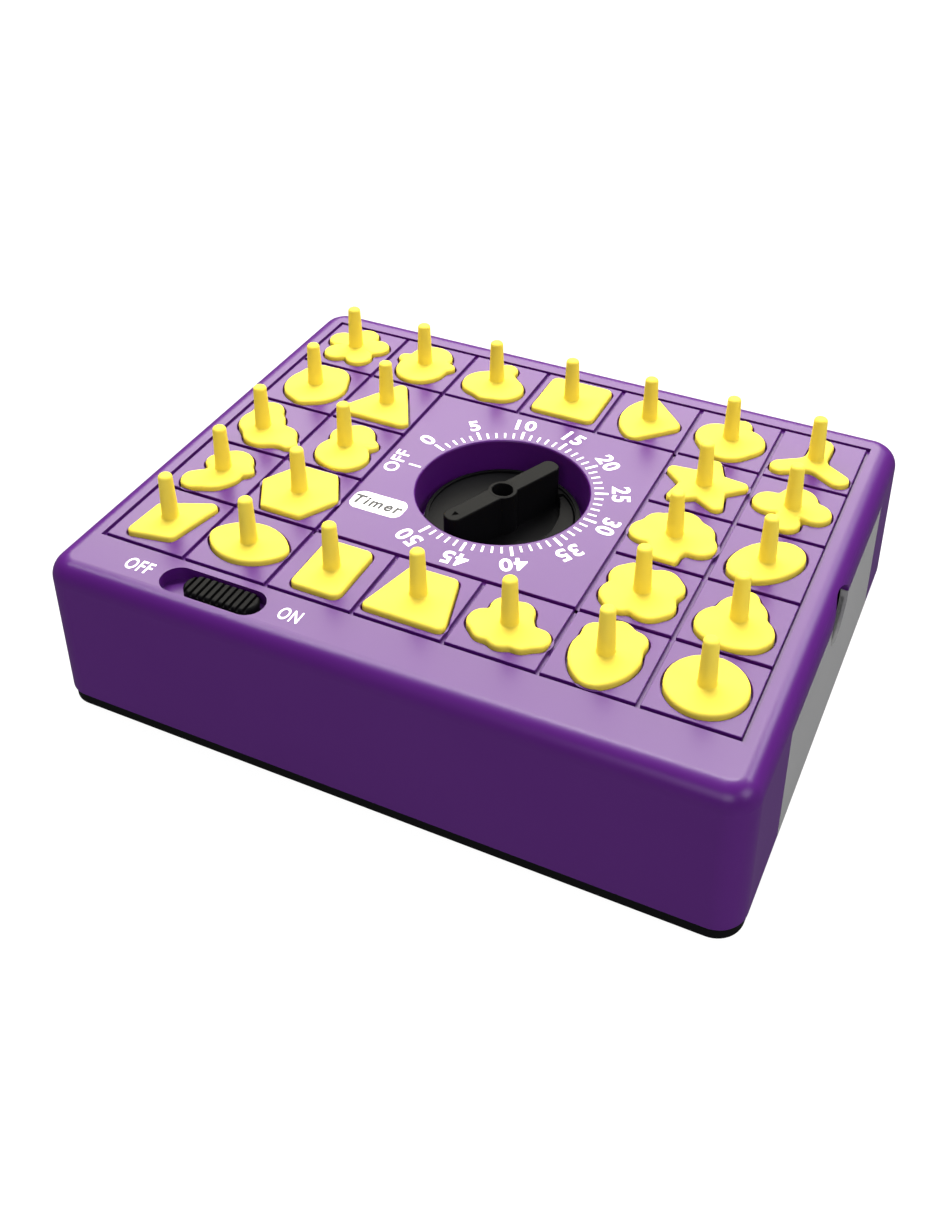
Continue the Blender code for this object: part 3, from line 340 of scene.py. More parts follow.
def cell_middle(column, row):
    return GRID_LEFT + (column + 0.5) * CELL, GRID_FRONT + (row + 0.5) * CELL


# Meshes: each part is (vertices, faces), and an object joins several

def lifted(outline, z):
    return [(x, y, z) for x, y in outline]


def loft(rings, endless=False):
    """Skin a stack of equal-count rings, with end caps or, if endless, joined last to first."""
    count = len(rings[0])
    vertices = [point for ring in rings for point in ring]
    faces = []
    for r in range(len(rings) if endless else len(rings) - 1):
        low, high = r * count, (r + 1) % len(rings) * count
        for k in range(count):
            after = (k + 1) % count
            faces.append((low + k, low + after, high + after, high + k))
    if not endless:
        faces.append(tuple(reversed(range(count))))
        faces.append(tuple(range(len(vertices) - count, len(vertices))))
    return vertices, faces


def edge_stations(bottom, top, bottom_edge, top_edge, steps):
    """(inset, height) pairs up a wall with a rounded lower and upper edge."""
    stations = []
    for k in range(steps + 1 if bottom_edge else 1):
        angle = math.pi / 2 * k / steps
        inset = bottom_edge * (1 - math.sin(angle))
        stations.append((inset, bottom + bottom_edge * (1 - math.cos(angle))))
    for k in range(steps + 1 if top_edge else 1):
        angle = math.pi / 2 * k / steps
        stations.append((top_edge * (1 - math.cos(angle)), top - top_edge * (1 - math.sin(angle))))
    return stations


def pad(outline, bottom, top, bottom_edge=0.0, top_edge=0.0, steps=4):
    """A solid over outline(inset), with rounded edges."""
    stations = edge_stations(bottom, top, bottom_edge, top_edge, steps)
    return loft([lifted(outline(inset), z) for inset, z in stations])


def block(low, high, edge=0.0, corner=0.0):
    (x0, y0, z0), (x1, y1, z1) = low, high

    def outline(inset):
        radius = max(corner - inset, edge * 0.5, 0.02)
        return rounded_rectangle(x0 + inset, x1 - inset, y0 + inset, y1 - inset, radius, 4)
    return pad(outline, z0, z1, edge, edge, 2)


def border(outer, inner, low, high):
    """Four bars that fill the space between two rectangles, each given as (x0, x1, y0, y1)."""
    (x0, x1, y0, y1), (u0, u1, v0, v1) = outer, inner
    return [
        block((x0, y0, low), (x1, v0, high)),
        block((x0, v1, low), (x1, y1, high)),
        block((x0, v0, low), (u0, v1, high)),
        block((u1, v0, low), (x1, v1, high)),
    ]


def cylinder(x, y, radius, bottom, top, edge=0.0, segments=32):
    return pad(lambda inset: circle(radius - inset, segments, x, y), bottom, top, edge, edge, 3)


def turned(profile, x=0.0, y=0.0, segments=32, endless=False):
    """Turn a profile of (radius, height) points round an upright axis."""
    return loft([lifted(circle(radius, segments, x, y), z) for radius, z in profile], endless)


def stadium(length, width, x, y):
    def outline(inset):
        return rounded_rectangle(x - length / 2 + inset, x + length / 2 - inset,
                                 y - width / 2 + inset, y + width / 2 - inset,
                                 width / 2 - inset - 0.01)
    return outline


def make_mesh(name, parts):
    vertices, faces = [], []
    for part_vertices, part_faces in parts:
        start = len(vertices)
        vertices += [Vector(point) * MM for point in part_vertices]
        faces += [tuple(start + k for k in face) for face in part_faces]
    mesh = bpy.data.meshes.new(name)
    mesh.from_pydata(vertices, [], faces)
    shape = bmesh.new()
    shape.from_mesh(mesh)
    bmesh.ops.recalc_face_normals(shape, faces=shape.faces)
    shape.to_mesh(mesh)
    shape.free()
    made = bpy.data.objects.new(name, mesh)
    bpy.context.scene.collection.objects.link(made)
    return made


def carve(target, *cutters):
    """Cut parts from the target, one after another."""
    for cutter in cutters:
        tool = make_mesh("tool", [cutter])
        change = target.modifiers.new("carve", "BOOLEAN")
        change.operation = "DIFFERENCE"
        change.solver = "EXACT"
        change.object = tool
        apply_modifiers(target)
        bpy.data.objects.remove(tool)


def apply_modifiers(target):
    bpy.context.view_layer.update()
    evaluated = target.evaluated_get(bpy.context.evaluated_depsgraph_get())
    mesh = bpy.data.meshes.new_from_object(evaluated)
    target.modifiers.clear()
    target.data = mesh


def round_edges(target, width):
    """Round the edges of more than 50 degrees that a cut leaves."""
    shape = bmesh.new()
    shape.from_mesh(target.data)
    bmesh.ops.dissolve_degenerate(shape, dist=1e-6, edges=shape.edges)
    shape.to_mesh(target.data)
    shape.free()
    bevel = target.modifiers.new("edges", "BEVEL")
    bevel.width = width * MM
    bevel.segments = 2
    bevel.limit_method = "ANGLE"
    bevel.angle_limit = math.radians(50.0)
    bevel.miter_outer = "MITER_ARC"
    apply_modifiers(target)


def finish_piece(made, finish, body, stands_for=()):
    """Smooth the shading except over sharp edges, give the finish, and fix it to its body."""
    mesh = made.data
    mesh.materials.clear()
    mesh.materials.append(finish)
    shape = bmesh.new()
    shape.from_mesh(mesh)
    for face in shape.faces:
        face.smooth = True
        face.material_index = 0
    sharp = math.radians(40.0)
    for edge in shape.edges:
        edge.smooth = len(edge.link_faces) == 2 and edge.calc_face_angle(0.0) < sharp
    shape.to_mesh(mesh)
    shape.free()
    normals = made.modifiers.new("normals", "WEIGHTED_NORMAL")
    normals.keep_sharp = True
    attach(made, body)
    if stands_for:
        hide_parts(*stands_for)


def piece_of(name, parts, finish, body, stands_for=()):
    finish_piece(make_mesh(name, parts), finish, body, stands_for)


# Materials

def plastic(name, colour, roughness, grain, specular):
    """Moulded plastic: a fine pebbled skin, and gloss that varies a little from place to place."""
    spread, grain_size = 0.04, 0.5
    made = bpy.data.materials.new(name)
    made.use_nodes = True
    nodes, links = made.node_tree.nodes, made.node_tree.links
    shader = nodes["Principled BSDF"]
    shader.inputs["Specular IOR Level"].default_value = specular
    place = nodes.new("ShaderNodeTexCoord")
    cloudy = nodes.new("ShaderNodeTexNoise")
    cloudy.inputs["Scale"].default_value = 28.0
    cloudy.inputs["Detail"].default_value = 3.0
    links.new(place.outputs["Object"], cloudy.inputs["Vector"])
    gloss = nodes.new("ShaderNodeMapRange")
    gloss.inputs["To Min"].default_value = roughness - spread
    gloss.inputs["To Max"].default_value = roughness + spread
    links.new(cloudy.outputs["Fac"], gloss.inputs["Value"])
    links.new(gloss.outputs["Result"], shader.inputs["Roughness"])
    shade = nodes.new("ShaderNodeMapRange")
    shade.inputs["To Min"].default_value = 0.96
    shade.inputs["To Max"].default_value = 1.04
    links.new(cloudy.outputs["Fac"], shade.inputs["Value"])
    tint = nodes.new("ShaderNodeMix")
    tint.data_type = "RGBA"
    tint.blend_type = "MULTIPLY"
    tint.inputs["Factor"].default_value = 1.0
    tint.inputs["A"].default_value = (*colour, 1.0)
    links.new(shade.outputs["Result"], tint.inputs["B"])
    links.new(tint.outputs["Result"], shader.inputs["Base Color"])
    pebbles = nodes.new("ShaderNodeTexNoise")
    pebbles.inputs["Scale"].default_value = 1000.0 / grain_size
    pebbles.inputs["Detail"].default_value = 2.0
    links.new(place.outputs["Object"], pebbles.inputs["Vector"])
    bump = nodes.new("ShaderNodeBump")
    bump.inputs["Strength"].default_value = grain
    bump.inputs["Distance"].default_value = 0.0001
    links.new(pebbles.outputs["Fac"], bump.inputs["Height"])
    links.new(bump.outputs["Normal"], shader.inputs["Normal"])
    return made


def metal(name, colour, roughness):
    """Plated sheet or wire, with fine marks across it."""
    made = bpy.data.materials.new(name)
    made.use_nodes = True
    nodes, links = made.node_tree.nodes, made.node_tree.links
    shader = nodes["Principled BSDF"]
    shader.inputs["Metallic"].default_value = 1.0
    shader.inputs["Base Color"].default_value = (*colour, 1.0)
    place = nodes.new("ShaderNodeTexCoord")
    marks = nodes.new("ShaderNodeTexNoise")
    marks.inputs["Scale"].default_value = 400.0
    marks.inputs["Detail"].default_value = 4.0
    links.new(place.outputs["Object"], marks.inputs["Vector"])
    gloss = nodes.new("ShaderNodeMapRange")
    gloss.inputs["To Min"].default_value = roughness - 0.08
    gloss.inputs["To Max"].default_value = roughness + 0.08
    links.new(marks.outputs["Fac"], gloss.inputs["Value"])
    links.new(gloss.outputs["Result"], shader.inputs["Roughness"])
    return made


# Case and base

def box_outline(inset):
    def outline(more):
        edge = inset + more
        return rounded_rectangle(-WIDTH / 2 + edge, WIDTH / 2 - edge, -DEPTH / 2 + edge,
                                 DEPTH / 2 - edge, max(CORNER_RADIUS - edge, 0.3))
    return outline


def case_screw_places():
    x, front, back = WIDTH / 2 - 12.0, -DEPTH / 2 + 9.5, DEPTH / 2 - 5.6
    return [(-x, front), (x, front), (-x, back), (x, back)]


def post_places():
    return [(sx * POST_X, DIAL_Y + sy * POST_DY) for sx in (-1, 1) for sy in (-1, 1)]


def finger_notch():
    """An oval prism along X at the top edge of the drawer's front."""
    oval = [(NOTCH_Y + NOTCH_HALF_WIDTH * u, NOTCH_Z + NOTCH_HALF_HEIGHT * v)
            for u, v in circle(1.0, 48)]
    return loft([[(x, y, z) for y, z in oval] for x in (WIDTH / 2 - 7.0, WIDTH / 2 + 15.0)])


def make_case(purple):
    half = LINE / 2
    shell = pad(box_outline(0.0), CASE_BOTTOM, HEIGHT, SOFT, TOP_EDGE_RADIUS, 10)
    case = make_mesh("case_shell", [shell])
    cavity = pad(box_outline(WALL), 0.0, HEIGHT - TOP_SKIN)
    opening = block((GRID_LEFT - half, GRID_FRONT - half, 0.0),
                    (GRID_RIGHT + half, GRID_BACK + half, ABOVE))
    slot = pad(stadium(SLOT_LENGTH, SLOT_WIDTH, SLOT_X, SLOT_Y), INSIDE, ABOVE)
    bay = block((BAY_START, DIAL_Y - DRAWER_WIDTH / 2 - TOUCH, 0.0),
                (BESIDE, DIAL_Y + DRAWER_WIDTH / 2 + TOUCH, PANEL_TOP + TOUCH))
    carve(case, cavity, opening, slot, bay, finger_notch())
    round_edges(case, 0.35)
    finish_piece(case, purple, "case", ("top_case",))
    make_slot_tub(purple)
    make_case_ribs(purple)


def make_slot_tub(purple):
    """The walls and floor under the switch's slot, with a gap for the slider's stem."""
    tub = stadium(SLOT_LENGTH + 4.0, SLOT_WIDTH + 4.0, SLOT_X, SLOT_Y)
    hollow = stadium(SLOT_LENGTH, SLOT_WIDTH, SLOT_X, SLOT_Y)
    slot_tub = make_mesh("slot_tub", [pad(tub, SLOT_FLOOR - 2.5, HEIGHT - TOP_SKIN + 0.3)])
    stem_gap = block((SLOT_X - 8.0, SLOT_Y - 2.2, INSIDE), (SLOT_X + 8.0, SLOT_Y + 2.2, ABOVE))
    carve(slot_tub, pad(hollow, SLOT_FLOOR, ABOVE), stem_gap)
    finish_piece(slot_tub, purple, "case")


def make_case_ribs(purple):
    """The frame round the tray, the ledge at the bottom of the outer groove, and screw posts."""
    half = LINE / 2
    x, front, back = GRID_RIGHT + half, GRID_FRONT - half, GRID_BACK + half
    ribs = border((-x - SKIRT, x + SKIRT, front - SKIRT, back + SKIRT), (-x, x, front, back),
                  SKIRT_BOTTOM + 1.0, HEIGHT - TOP_SKIN + 0.2)
    for screw_x, screw_y in case_screw_places():
        ribs.append(cylinder(screw_x, screw_y, 3.4, CASE_BOTTOM + 0.4, HEIGHT - TOP_SKIN + 0.3))
    inward = LINE - LEDGE_CLEARANCE
    ribs += border((-x - 0.5, x + 0.5, front - 0.5, back + 0.5),
                   (-x + inward, x - inward, front + inward, back - inward),
                   HEIGHT - LEDGE_DEPTH, HEIGHT - GROOVE_DEPTH)
    piece_of("case_ribs", ribs, purple, "case")


def make_base(black):
    base = make_mesh("base_shell", [pad(box_outline(BASE_INSET), 0.0, BASE_TOP, 0.6, 0.2, 3)])
    rim = 5.5
    pan = rounded_rectangle(-WIDTH / 2 + rim, WIDTH / 2 - rim,
                            -DEPTH / 2 + rim, DEPTH / 2 - rim, 5.0)
    carve(base, loft([lifted(pan, BASE_FLOOR), lifted(pan, 9.0)]))
    for x, y in case_screw_places() + PILLARS:
        carve(base, cylinder(x, y, SCREW_HEAD_RADIUS, -1.0, 1.5),
              cylinder(x, y, SCREW_RADIUS, -1.0, 12.0))
    finish_piece(base, black, "case", ("base_plate",))
    foot = BASE_FLOOR - 0.2
    post = [(4.5, foot), (4.5, POST_TOP), (2.5, POST_TOP), (2.5, 20.0)]
    pillar_top = LOWER_PLATE_BOTTOM - TOUCH
    pillar = [(SCREW_RADIUS, foot), (4.0, foot), (4.0, pillar_top), (SCREW_RADIUS, pillar_top)]
    posts = [turned(post, x, y) for x, y in post_places()]
    posts += [turned(pillar, x, y, endless=True) for x, y in PILLARS]
    piece_of("base_posts", posts, black, "case")


# Tray and loose pieces

def soft_rim(radius, steps):
    """(inset, height) pairs over the rounded upper edge of a wall, up to the top face."""
    return edge_stations(HEIGHT - 3.0, HEIGHT, 0.0, radius, steps)[1:]


def tray_cell(distance, x, y):
    """One cell of the tray, with a shallow pocket in its piece's outline."""
    side = CELL / 2 - LINE / 2
    rings = [lifted(square_ring(side, x, y), HEIGHT - TRAY_THICK)]
    for inset, z in soft_rim(SOFT, 3):
        rings.append(lifted(square_ring(side - inset, x, y), z))
    for inset, z in reversed(soft_rim(SOFT, 3)):
        rings.append(lifted(piece_ring(distance, x, y, POCKET_CLEARANCE + inset), z))
    rings.append(lifted(piece_ring(distance, x, y, POCKET_CLEARANCE), HEIGHT - POCKET_DEPTH))
    return loft(rings)


def groove_runs(middle, panel, start, end):
    """From start to end, or in two runs on either side of the dial panel when it is in the way."""
    reach = ISLAND / 2 + LINE / 2
    if abs(middle) > reach:
        return [(start, end)]
    return [(start, panel - reach), (panel + reach, end)]


def hook_lug(top):
    """Four bars round the window in the tray's lug, which the catch's hook enters."""
    (x0, x1), (window_low, window_high) = LUG_X, WINDOW_HEIGHTS
    return [
        block((x0, DIAL_Y - LUG_HALF, LUG_BOTTOM), (x1, DIAL_Y - WINDOW_HALF, top)),
        block((x0, DIAL_Y + WINDOW_HALF, LUG_BOTTOM), (x1, DIAL_Y + LUG_HALF, top)),
        block((x0, DIAL_Y - WINDOW_HALF, LUG_BOTTOM), (x1, DIAL_Y + WINDOW_HALF, window_low)),
        block((x0, DIAL_Y - WINDOW_HALF, window_high), (x1, DIAL_Y + WINDOW_HALF, top)),
    ]


def make_tray(purple):
    half = LINE / 2
    under, groove = HEIGHT - TRAY_THICK, HEIGHT - GROOVE_DEPTH
    x0, x1 = GRID_LEFT + half, GRID_RIGHT - half
    y0, y1 = GRID_FRONT + half, GRID_BACK - half
    parts = [tray_cell(distance, *cell_middle(column, row))
             for column, row, distance in PIECES.values()]
    web = half + 0.05
    for k in range(1, COLUMNS):
        x = GRID_LEFT + k * CELL
        for low, high in groove_runs(x - DIAL_X, DIAL_Y, y0, y1):
            parts.append(block((x - web, low, under), (x + web, high, groove)))
    for k in range(1, ROWS):
        y = GRID_FRONT + k * CELL
        for low, high in groove_runs(y - DIAL_Y, DIAL_X, x0, x1):
            parts.append(block((low, y - web, under + 0.01), (high, y + web, groove - 0.01)))
    skirt_top = under + 0.2
    for low, high in (((x0, y0), (x1, y0 + SKIRT)), ((x0, y1 - SKIRT), (x1, y1)),
                      ((x0, y0), (x0 + SKIRT, y1)), ((x1 - SKIRT, y0), (x1, y1))):
        parts.append(block((*low, SKIRT_BOTTOM), (*high, skirt_top)))
    inner = ISLAND / 2 + half
    outer = inner + SKIRT
    parts += border((DIAL_X - outer, DIAL_X + outer, DIAL_Y - outer, DIAL_Y + outer),
                    (DIAL_X - inner, DIAL_X + inner, DIAL_Y - inner, DIAL_Y + inner),
                    SKIRT_BOTTOM, skirt_top)
    pin = [(PIN_RADIUS * 0.6, PIN_END), (PIN_RADIUS, PIN_END + 1.0), (PIN_RADIUS, under + 0.5)]
    parts += [turned(pin, x, y) for x, y in post_places()]
    parts += hook_lug(under + 0.5)
    piece_of("tray_board", parts, purple, "tray", ("pop_up_tray",))


def make_pieces(yellow):
    """Loose plates, each with a tapered peg that has a small flare at its foot and a round tip."""
    top = HEIGHT + PLATE_PROUD
    flare, tip = 0.5, 1.1
    peg_profile = [(PEG_FOOT, top - 1.0)]
    for k in range(5):
        angle = math.pi / 2 * k / 4
        peg_profile.append((PEG_FOOT + flare * (1 - math.sin(angle)),
                            top + flare * (1 - math.cos(angle))))
    for k in range(7):
        angle = math.pi / 2 * k / 6
        peg_profile.append((PEG_TOP - tip * (1 - math.cos(angle)),
                            top + PEG_HEIGHT - tip * (1 - math.sin(angle))))
    stations = edge_stations(top - PLATE_THICK, top, SOFT, PLATE_EDGE, 4)
    for name, (column, row, distance) in PIECES.items():
        x, y = cell_middle(column, row)
        plate = loft([lifted(piece_ring(distance, x, y, -inset), z) for inset, z in stations])
        aside, behind = PEG_OFFSETS.get(name, (0.0, 0.0))
        peg = turned(peg_profile, x + aside, y + behind)
        short = name.removeprefix("piece_")
        piece_of(f"{short}_and_peg", [plate, peg], yellow, f"loose_{short}", (name,))


# Dial

def quarter_turned(low, high, turns):
    """A block given about the dial's middle, turned by quarter turns."""
    (x0, y0, z0), (x1, y1, z1) = low, high
    for _ in range(turns):
        x0, x1, y0, y1 = -y1, -y0, x0, x1
    return block((DIAL_X + x0, DIAL_Y + y0, z0), (DIAL_X + x1, DIAL_Y + y1, z1))


def make_dial_panel(purple):
    """The square round the dial and the knob's well, with a ledge at the bottom of the groove."""
    half = ISLAND / 2 - LINE / 2
    skin = HEIGHT - 3.0
    floor_low = WELL_FLOOR - WELL_FLOOR_THICK

    def round_ring(radius, z):
        return lifted(circle(radius, AROUND, DIAL_X, DIAL_Y), z)

    rings = [round_ring(ARBOR_CLEARANCE, floor_low), round_ring(WELL_RADIUS + WELL_WALL, floor_low),
             round_ring(WELL_RADIUS + WELL_WALL, skin),
             lifted(square_ring(half, DIAL_X, DIAL_Y), skin)]
    rings += [lifted(square_ring(half - inset, DIAL_X, DIAL_Y), z)
              for inset, z in soft_rim(SOFT, 3)]
    rings += [round_ring(WELL_RADIUS + inset, z) for inset, z in reversed(soft_rim(WELL_LIP, 6))]
    floor_fillet = edge_stations(WELL_FLOOR, skin, 1.0, 0.0, 4)[:-1]
    rings += [round_ring(WELL_RADIUS - inset, z) for inset, z in reversed(floor_fillet)]
    rings.append(round_ring(ARBOR_CLEARANCE, WELL_FLOOR))
    legs = [cylinder(DIAL_X + dx, DIAL_Y + dy, 2.5, UPPER_PLATE_TOP + TOUCH, WELL_FLOOR - 1.0)
            for dx, dy in ((-22.0, 16.0), (22.0, 16.0), (22.0, -16.0), (-22.0, -16.0))]
    piece_of("dial_plate", [loft(rings, True)] + legs, purple, "case", ("dial_panel",))
    lip = ISLAND / 2 + LINE / 2 - LEDGE_CLEARANCE
    edges = [quarter_turned((half - 0.2, -lip, HEIGHT - LEDGE_DEPTH),
                            (lip, lip, HEIGHT - GROOVE_DEPTH), turns) for turns in range(4)]
    piece_of("dial_edge", edges, purple, "case")


def tick(outer, width, degrees):
    """A printed mark along a radius of the dial."""
    ca, sa = math.cos(math.radians(degrees)), math.sin(math.radians(degrees))
    half = width / 2
    corners = [(DIAL_X + r * ca - w * sa, DIAL_Y + r * sa + w * ca) for r, w in
               ((TICK_INNER, -half), (outer, -half), (outer, half), (TICK_INNER, half))]
    low = HEIGHT + PRINT_LIFT
    return loft([lifted(corners, low), lifted(corners, low + PRINT_THICK)])


def lettering(words, x, y, height, weight, spacing, turn=0.0, lift=0.0, width=None, slant=0.0):
    """Words as a thin flat solid with capitals of this height, centred on (x, y)."""
    text = bpy.data.curves.new("words", "FONT")
    text.body = words
    text.offset = weight
    text.shear = slant
    text.space_character = spacing
    text.extrude = 0.01
    text.resolution_u = 6
    holder = bpy.data.objects.new("words", text)
    bpy.context.scene.collection.objects.link(holder)
    bpy.context.view_layer.update()
    evaluated = holder.evaluated_get(bpy.context.evaluated_depsgraph_get())
    mesh = bpy.data.meshes.new_from_object(evaluated)
    points = [vertex.co.copy() for vertex in mesh.vertices]
    faces = [tuple(face.vertices) for face in mesh.polygons]
    bpy.data.objects.remove(holder)
    low = Vector(min(p[k] for p in points) for k in range(3))
    high = Vector(max(p[k] for p in points) for k in range(3))
    size_y = height / (high.y - low.y)
    size_x = width / (high.x - low.x) if width else size_y
    ca, sa = math.cos(math.radians(turn)), math.sin(math.radians(turn))
    base = HEIGHT + PRINT_LIFT + lift
    vertices = []
    for point in points:
        u = (point.x - (low.x + high.x) / 2) * size_x
        v = (point.y - (low.y + high.y) / 2) * size_y
        z = base + PRINT_THICK * (point.z - low.z) / (high.z - low.z)
        vertices.append((x + u * ca - v * sa, y + u * sa + v * ca, z))
    return vertices, faces


def print_words(white, ink):
    """The dial's ticks and digits, the switch's words, and the label, as thin solids."""
    parts = [tick(TICK_MAJOR, 0.75, 180.0)]
    for value in range(DIAL_TOP_VALUE + 1):
        degrees = DIAL_START + DIAL_STEP * value
        if value % 5:
            parts.append(tick(TICK_MINOR, 0.7, degrees))
            continue
        parts.append(tick(TICK_MAJOR, 0.95, degrees))
        angle = math.radians(degrees)
        parts.append(lettering(str(value), DIAL_X + NUMBER_RADIUS * math.cos(angle),
                               DIAL_Y + NUMBER_RADIUS * math.sin(angle), 6.2, 0.024, 1.12,
                               turn=degrees - 90.0))
    parts += [
        lettering("OFF", DIAL_X - 39.8, DIAL_Y, 5.2, 0.014, 1.1, turn=90.0),
        lettering("OFF", -84.8, SWITCH_WORDS_Y, 5.2, 0.012, 1.12, width=9.4),
        lettering("ON", -30.5, SWITCH_WORDS_Y, 5.2, 0.012, 1.12, width=7.2),
    ]

    def label(inset):
        across, along = LABEL_HALF_WIDTH - inset, LABEL_HALF_HEIGHT - inset
        return rounded_rectangle(LABEL_X - across, LABEL_X + across, LABEL_Y - along,
                                 LABEL_Y + along, 3.2)

    parts.append(pad(label, HEIGHT + PRINT_LIFT, HEIGHT + PRINT_LIFT + PRINT_THICK))
    piece_of("white_print", parts, white, "case")
    word = lettering("Timer", LABEL_X, LABEL_Y, 4.6, 0.026, 1.2, lift=3 * PRINT_THICK, slant=0.15)
    piece_of("label_print", [word], ink, "case")


# Knob, made about its axis with the pointer along X, then set on the dial at rest

def arc_ledge(low, high, stations):
    """A curved step with soft upper edges; each station is degrees, inner and outer radius."""
    rings = []
    for degrees, inner, outer in stations:
        ca, sa = math.cos(math.radians(degrees)), math.sin(math.radians(degrees))
        soft = min(0.3, (outer - inner) / 4)
        section = [(inner, low), (outer, low), (outer, high - soft), (outer - soft, high),
                   (inner + soft, high), (inner, high - soft)]
        rings.append([(r * ca, r * sa, z) for r, z in section])
    return loft(rings)


def between(stations, steps):
    """Fill in steps evenly spaced points between each pair of stations."""
    filled = []
    for first, second in zip(stations, stations[1:]):
        for k in range(steps):
            filled.append(tuple(a + (b - a) * k / steps for a, b in zip(first, second)))
    return filled + [stations[-1]]


def set_on_dial(made, finish, stands_for=()):
    place = Matrix.Translation(Vector((DIAL_X, DIAL_Y, 0.0)) * MM)
    made.data.transform(place @ Matrix.Rotation(math.radians(POINTER_ANGLE), 4, "Z"))
    finish_piece(made, finish, "winding", stands_for)


def make_knob(black, rim_highlight, recess_shade):
    shelf = KNOB_RIM - SHELF_DROP
    disc_solid = cylinder(0.0, 0.0, KNOB_RADIUS, KNOB_BOTTOM, KNOB_RIM, 0.5, AROUND)
    cup = make_mesh("timer_handle", [disc_solid])
    inside_rim = KNOB_RADIUS - 1.4
    bore = turned([(HUB_BORE, INSIDE), (HUB_BORE, ABOVE)], segments=48)
    far = 30.0
    beside_bar = polygon([(-far, POCKET_START), (-far, far), (far, far), (far, POCKET_START)], 0.0)
    half_circle = meet(1.5, disc(0.0, 0.0, FINGER_RADIUS), beside_bar)
    pocket = traced(half_circle, 0.0, far, 96, 0.0, POCKET_START + 6.0)
    carve(cup, turned([(inside_rim, shelf), (inside_rim, ABOVE)], segments=AROUND),
          loft([lifted(pocket, KNOB_FLOOR), lifted(pocket, ABOVE)]), bore)
    round_edges(cup, 0.3)
    set_on_dial(cup, black, ("timer_knob",))

    def bar_outline(inset):
        along, across = HANDLE_HALF - inset, HANDLE_WIDTH / 2 - inset
        return rounded_rectangle(-along, along, -across, across, 3.0 - inset)

    bar = make_mesh("handle_bar", [pad(bar_outline, KNOB_BOTTOM + 1.0, HEIGHT, 0.0, 0.5)])
    carve(bar, bore)
    set_on_dial(bar, black)
    hub = [(HUB_BORE, KNOB_BOTTOM + 0.6), (HUB_RADIUS, KNOB_BOTTOM + 0.6),
           (HUB_RADIUS, HEIGHT - 0.4), (HUB_RADIUS - 0.12, HEIGHT - 0.12),
           (HUB_RADIUS - 0.4, HEIGHT + 0.01), (HUB_BORE + 0.25, HEIGHT + 0.01),
           (HUB_BORE, HEIGHT - 0.2)]
    set_on_dial(make_mesh("handle_hub", [turned(hub, segments=64, endless=True)]), black)
    # The pointer arrow and the dash on the shelf are flat sheets in deep black with no gloss:
    # painted shade, darker than the knob, where the marks are sunk.
    arrow = [(21.7, 0.0), (19.5, 1.1), (19.5, -1.1)]
    arrow_solid = loft([lifted(arrow, HEIGHT + 0.01), lifted(arrow, HEIGHT + 0.05)])
    set_on_dial(make_mesh("pointer_mark", [arrow_solid]), recess_shade)
    dash = block((-4.6, -14.3, shelf + 0.01), (1.0, -13.8, shelf + 0.05))
    set_on_dial(make_mesh("shelf_dash", [dash]), recess_shade)
    # A thin glossy ring along the rim's edge, in a lighter black than the knob: the lighter colour
    # is a painted highlight on the rim.
    bead_middle = KNOB_RIM - 0.25
    bead_low, bead_high = bead_middle - 0.2, bead_middle + 0.2
    bead = [(KNOB_RADIUS - 0.75, bead_low), (KNOB_RADIUS - 0.15, bead_low),
            (KNOB_RADIUS - 0.12, bead_middle), (KNOB_RADIUS - 0.3, bead_high),
            (KNOB_RADIUS - 0.6, bead_high), (KNOB_RADIUS - 0.78, bead_middle)]
    set_on_dial(make_mesh("rim_bead", [turned(bead, segments=AROUND, endless=True)]), rim_highlight)
    ledges = [arc_ledge(KNOB_FLOOR - 0.2, KNOB_RIM - 1.0, between(WALL_LEDGE, 6)),
              arc_ledge(KNOB_FLOOR - 0.2, KNOB_FLOOR + 2.2, between(FLOOR_LEDGE, 6))]
    set_on_dial(make_mesh("pocket_ledges", ledges), black)


# Switch and drawer

def make_switch(black):
    x = SLOT_X + SLIDER_TRAVEL / 2
    body = stadium(SLIDER_LENGTH, SLIDER_WIDTH, x, SLOT_Y)
    slider = make_mesh("slider_grip", [pad(body, SLOT_FLOOR + TOUCH, HEIGHT + 0.4, 0.0, 0.9, 5)])
    for k in range(RIBS + 1):
        middle = x + (k - RIBS / 2) * RIB_PITCH
        carve(slider, block((middle - 0.5, SLOT_Y - 10.0, HEIGHT - 0.8),
                            (middle + 0.5, SLOT_Y + 10.0, ABOVE)))
    round_edges(slider, 0.2)
    finish_piece(slider, black, "switch", ("switch_slider",))
    stem = block((x - 2.0, SLOT_Y - 1.7, 43.3), (x + 2.0, SLOT_Y + 1.7, SLOT_FLOOR + 1.0), 0.2)
    piece_of("slider_stem", [stem], black, "switch")


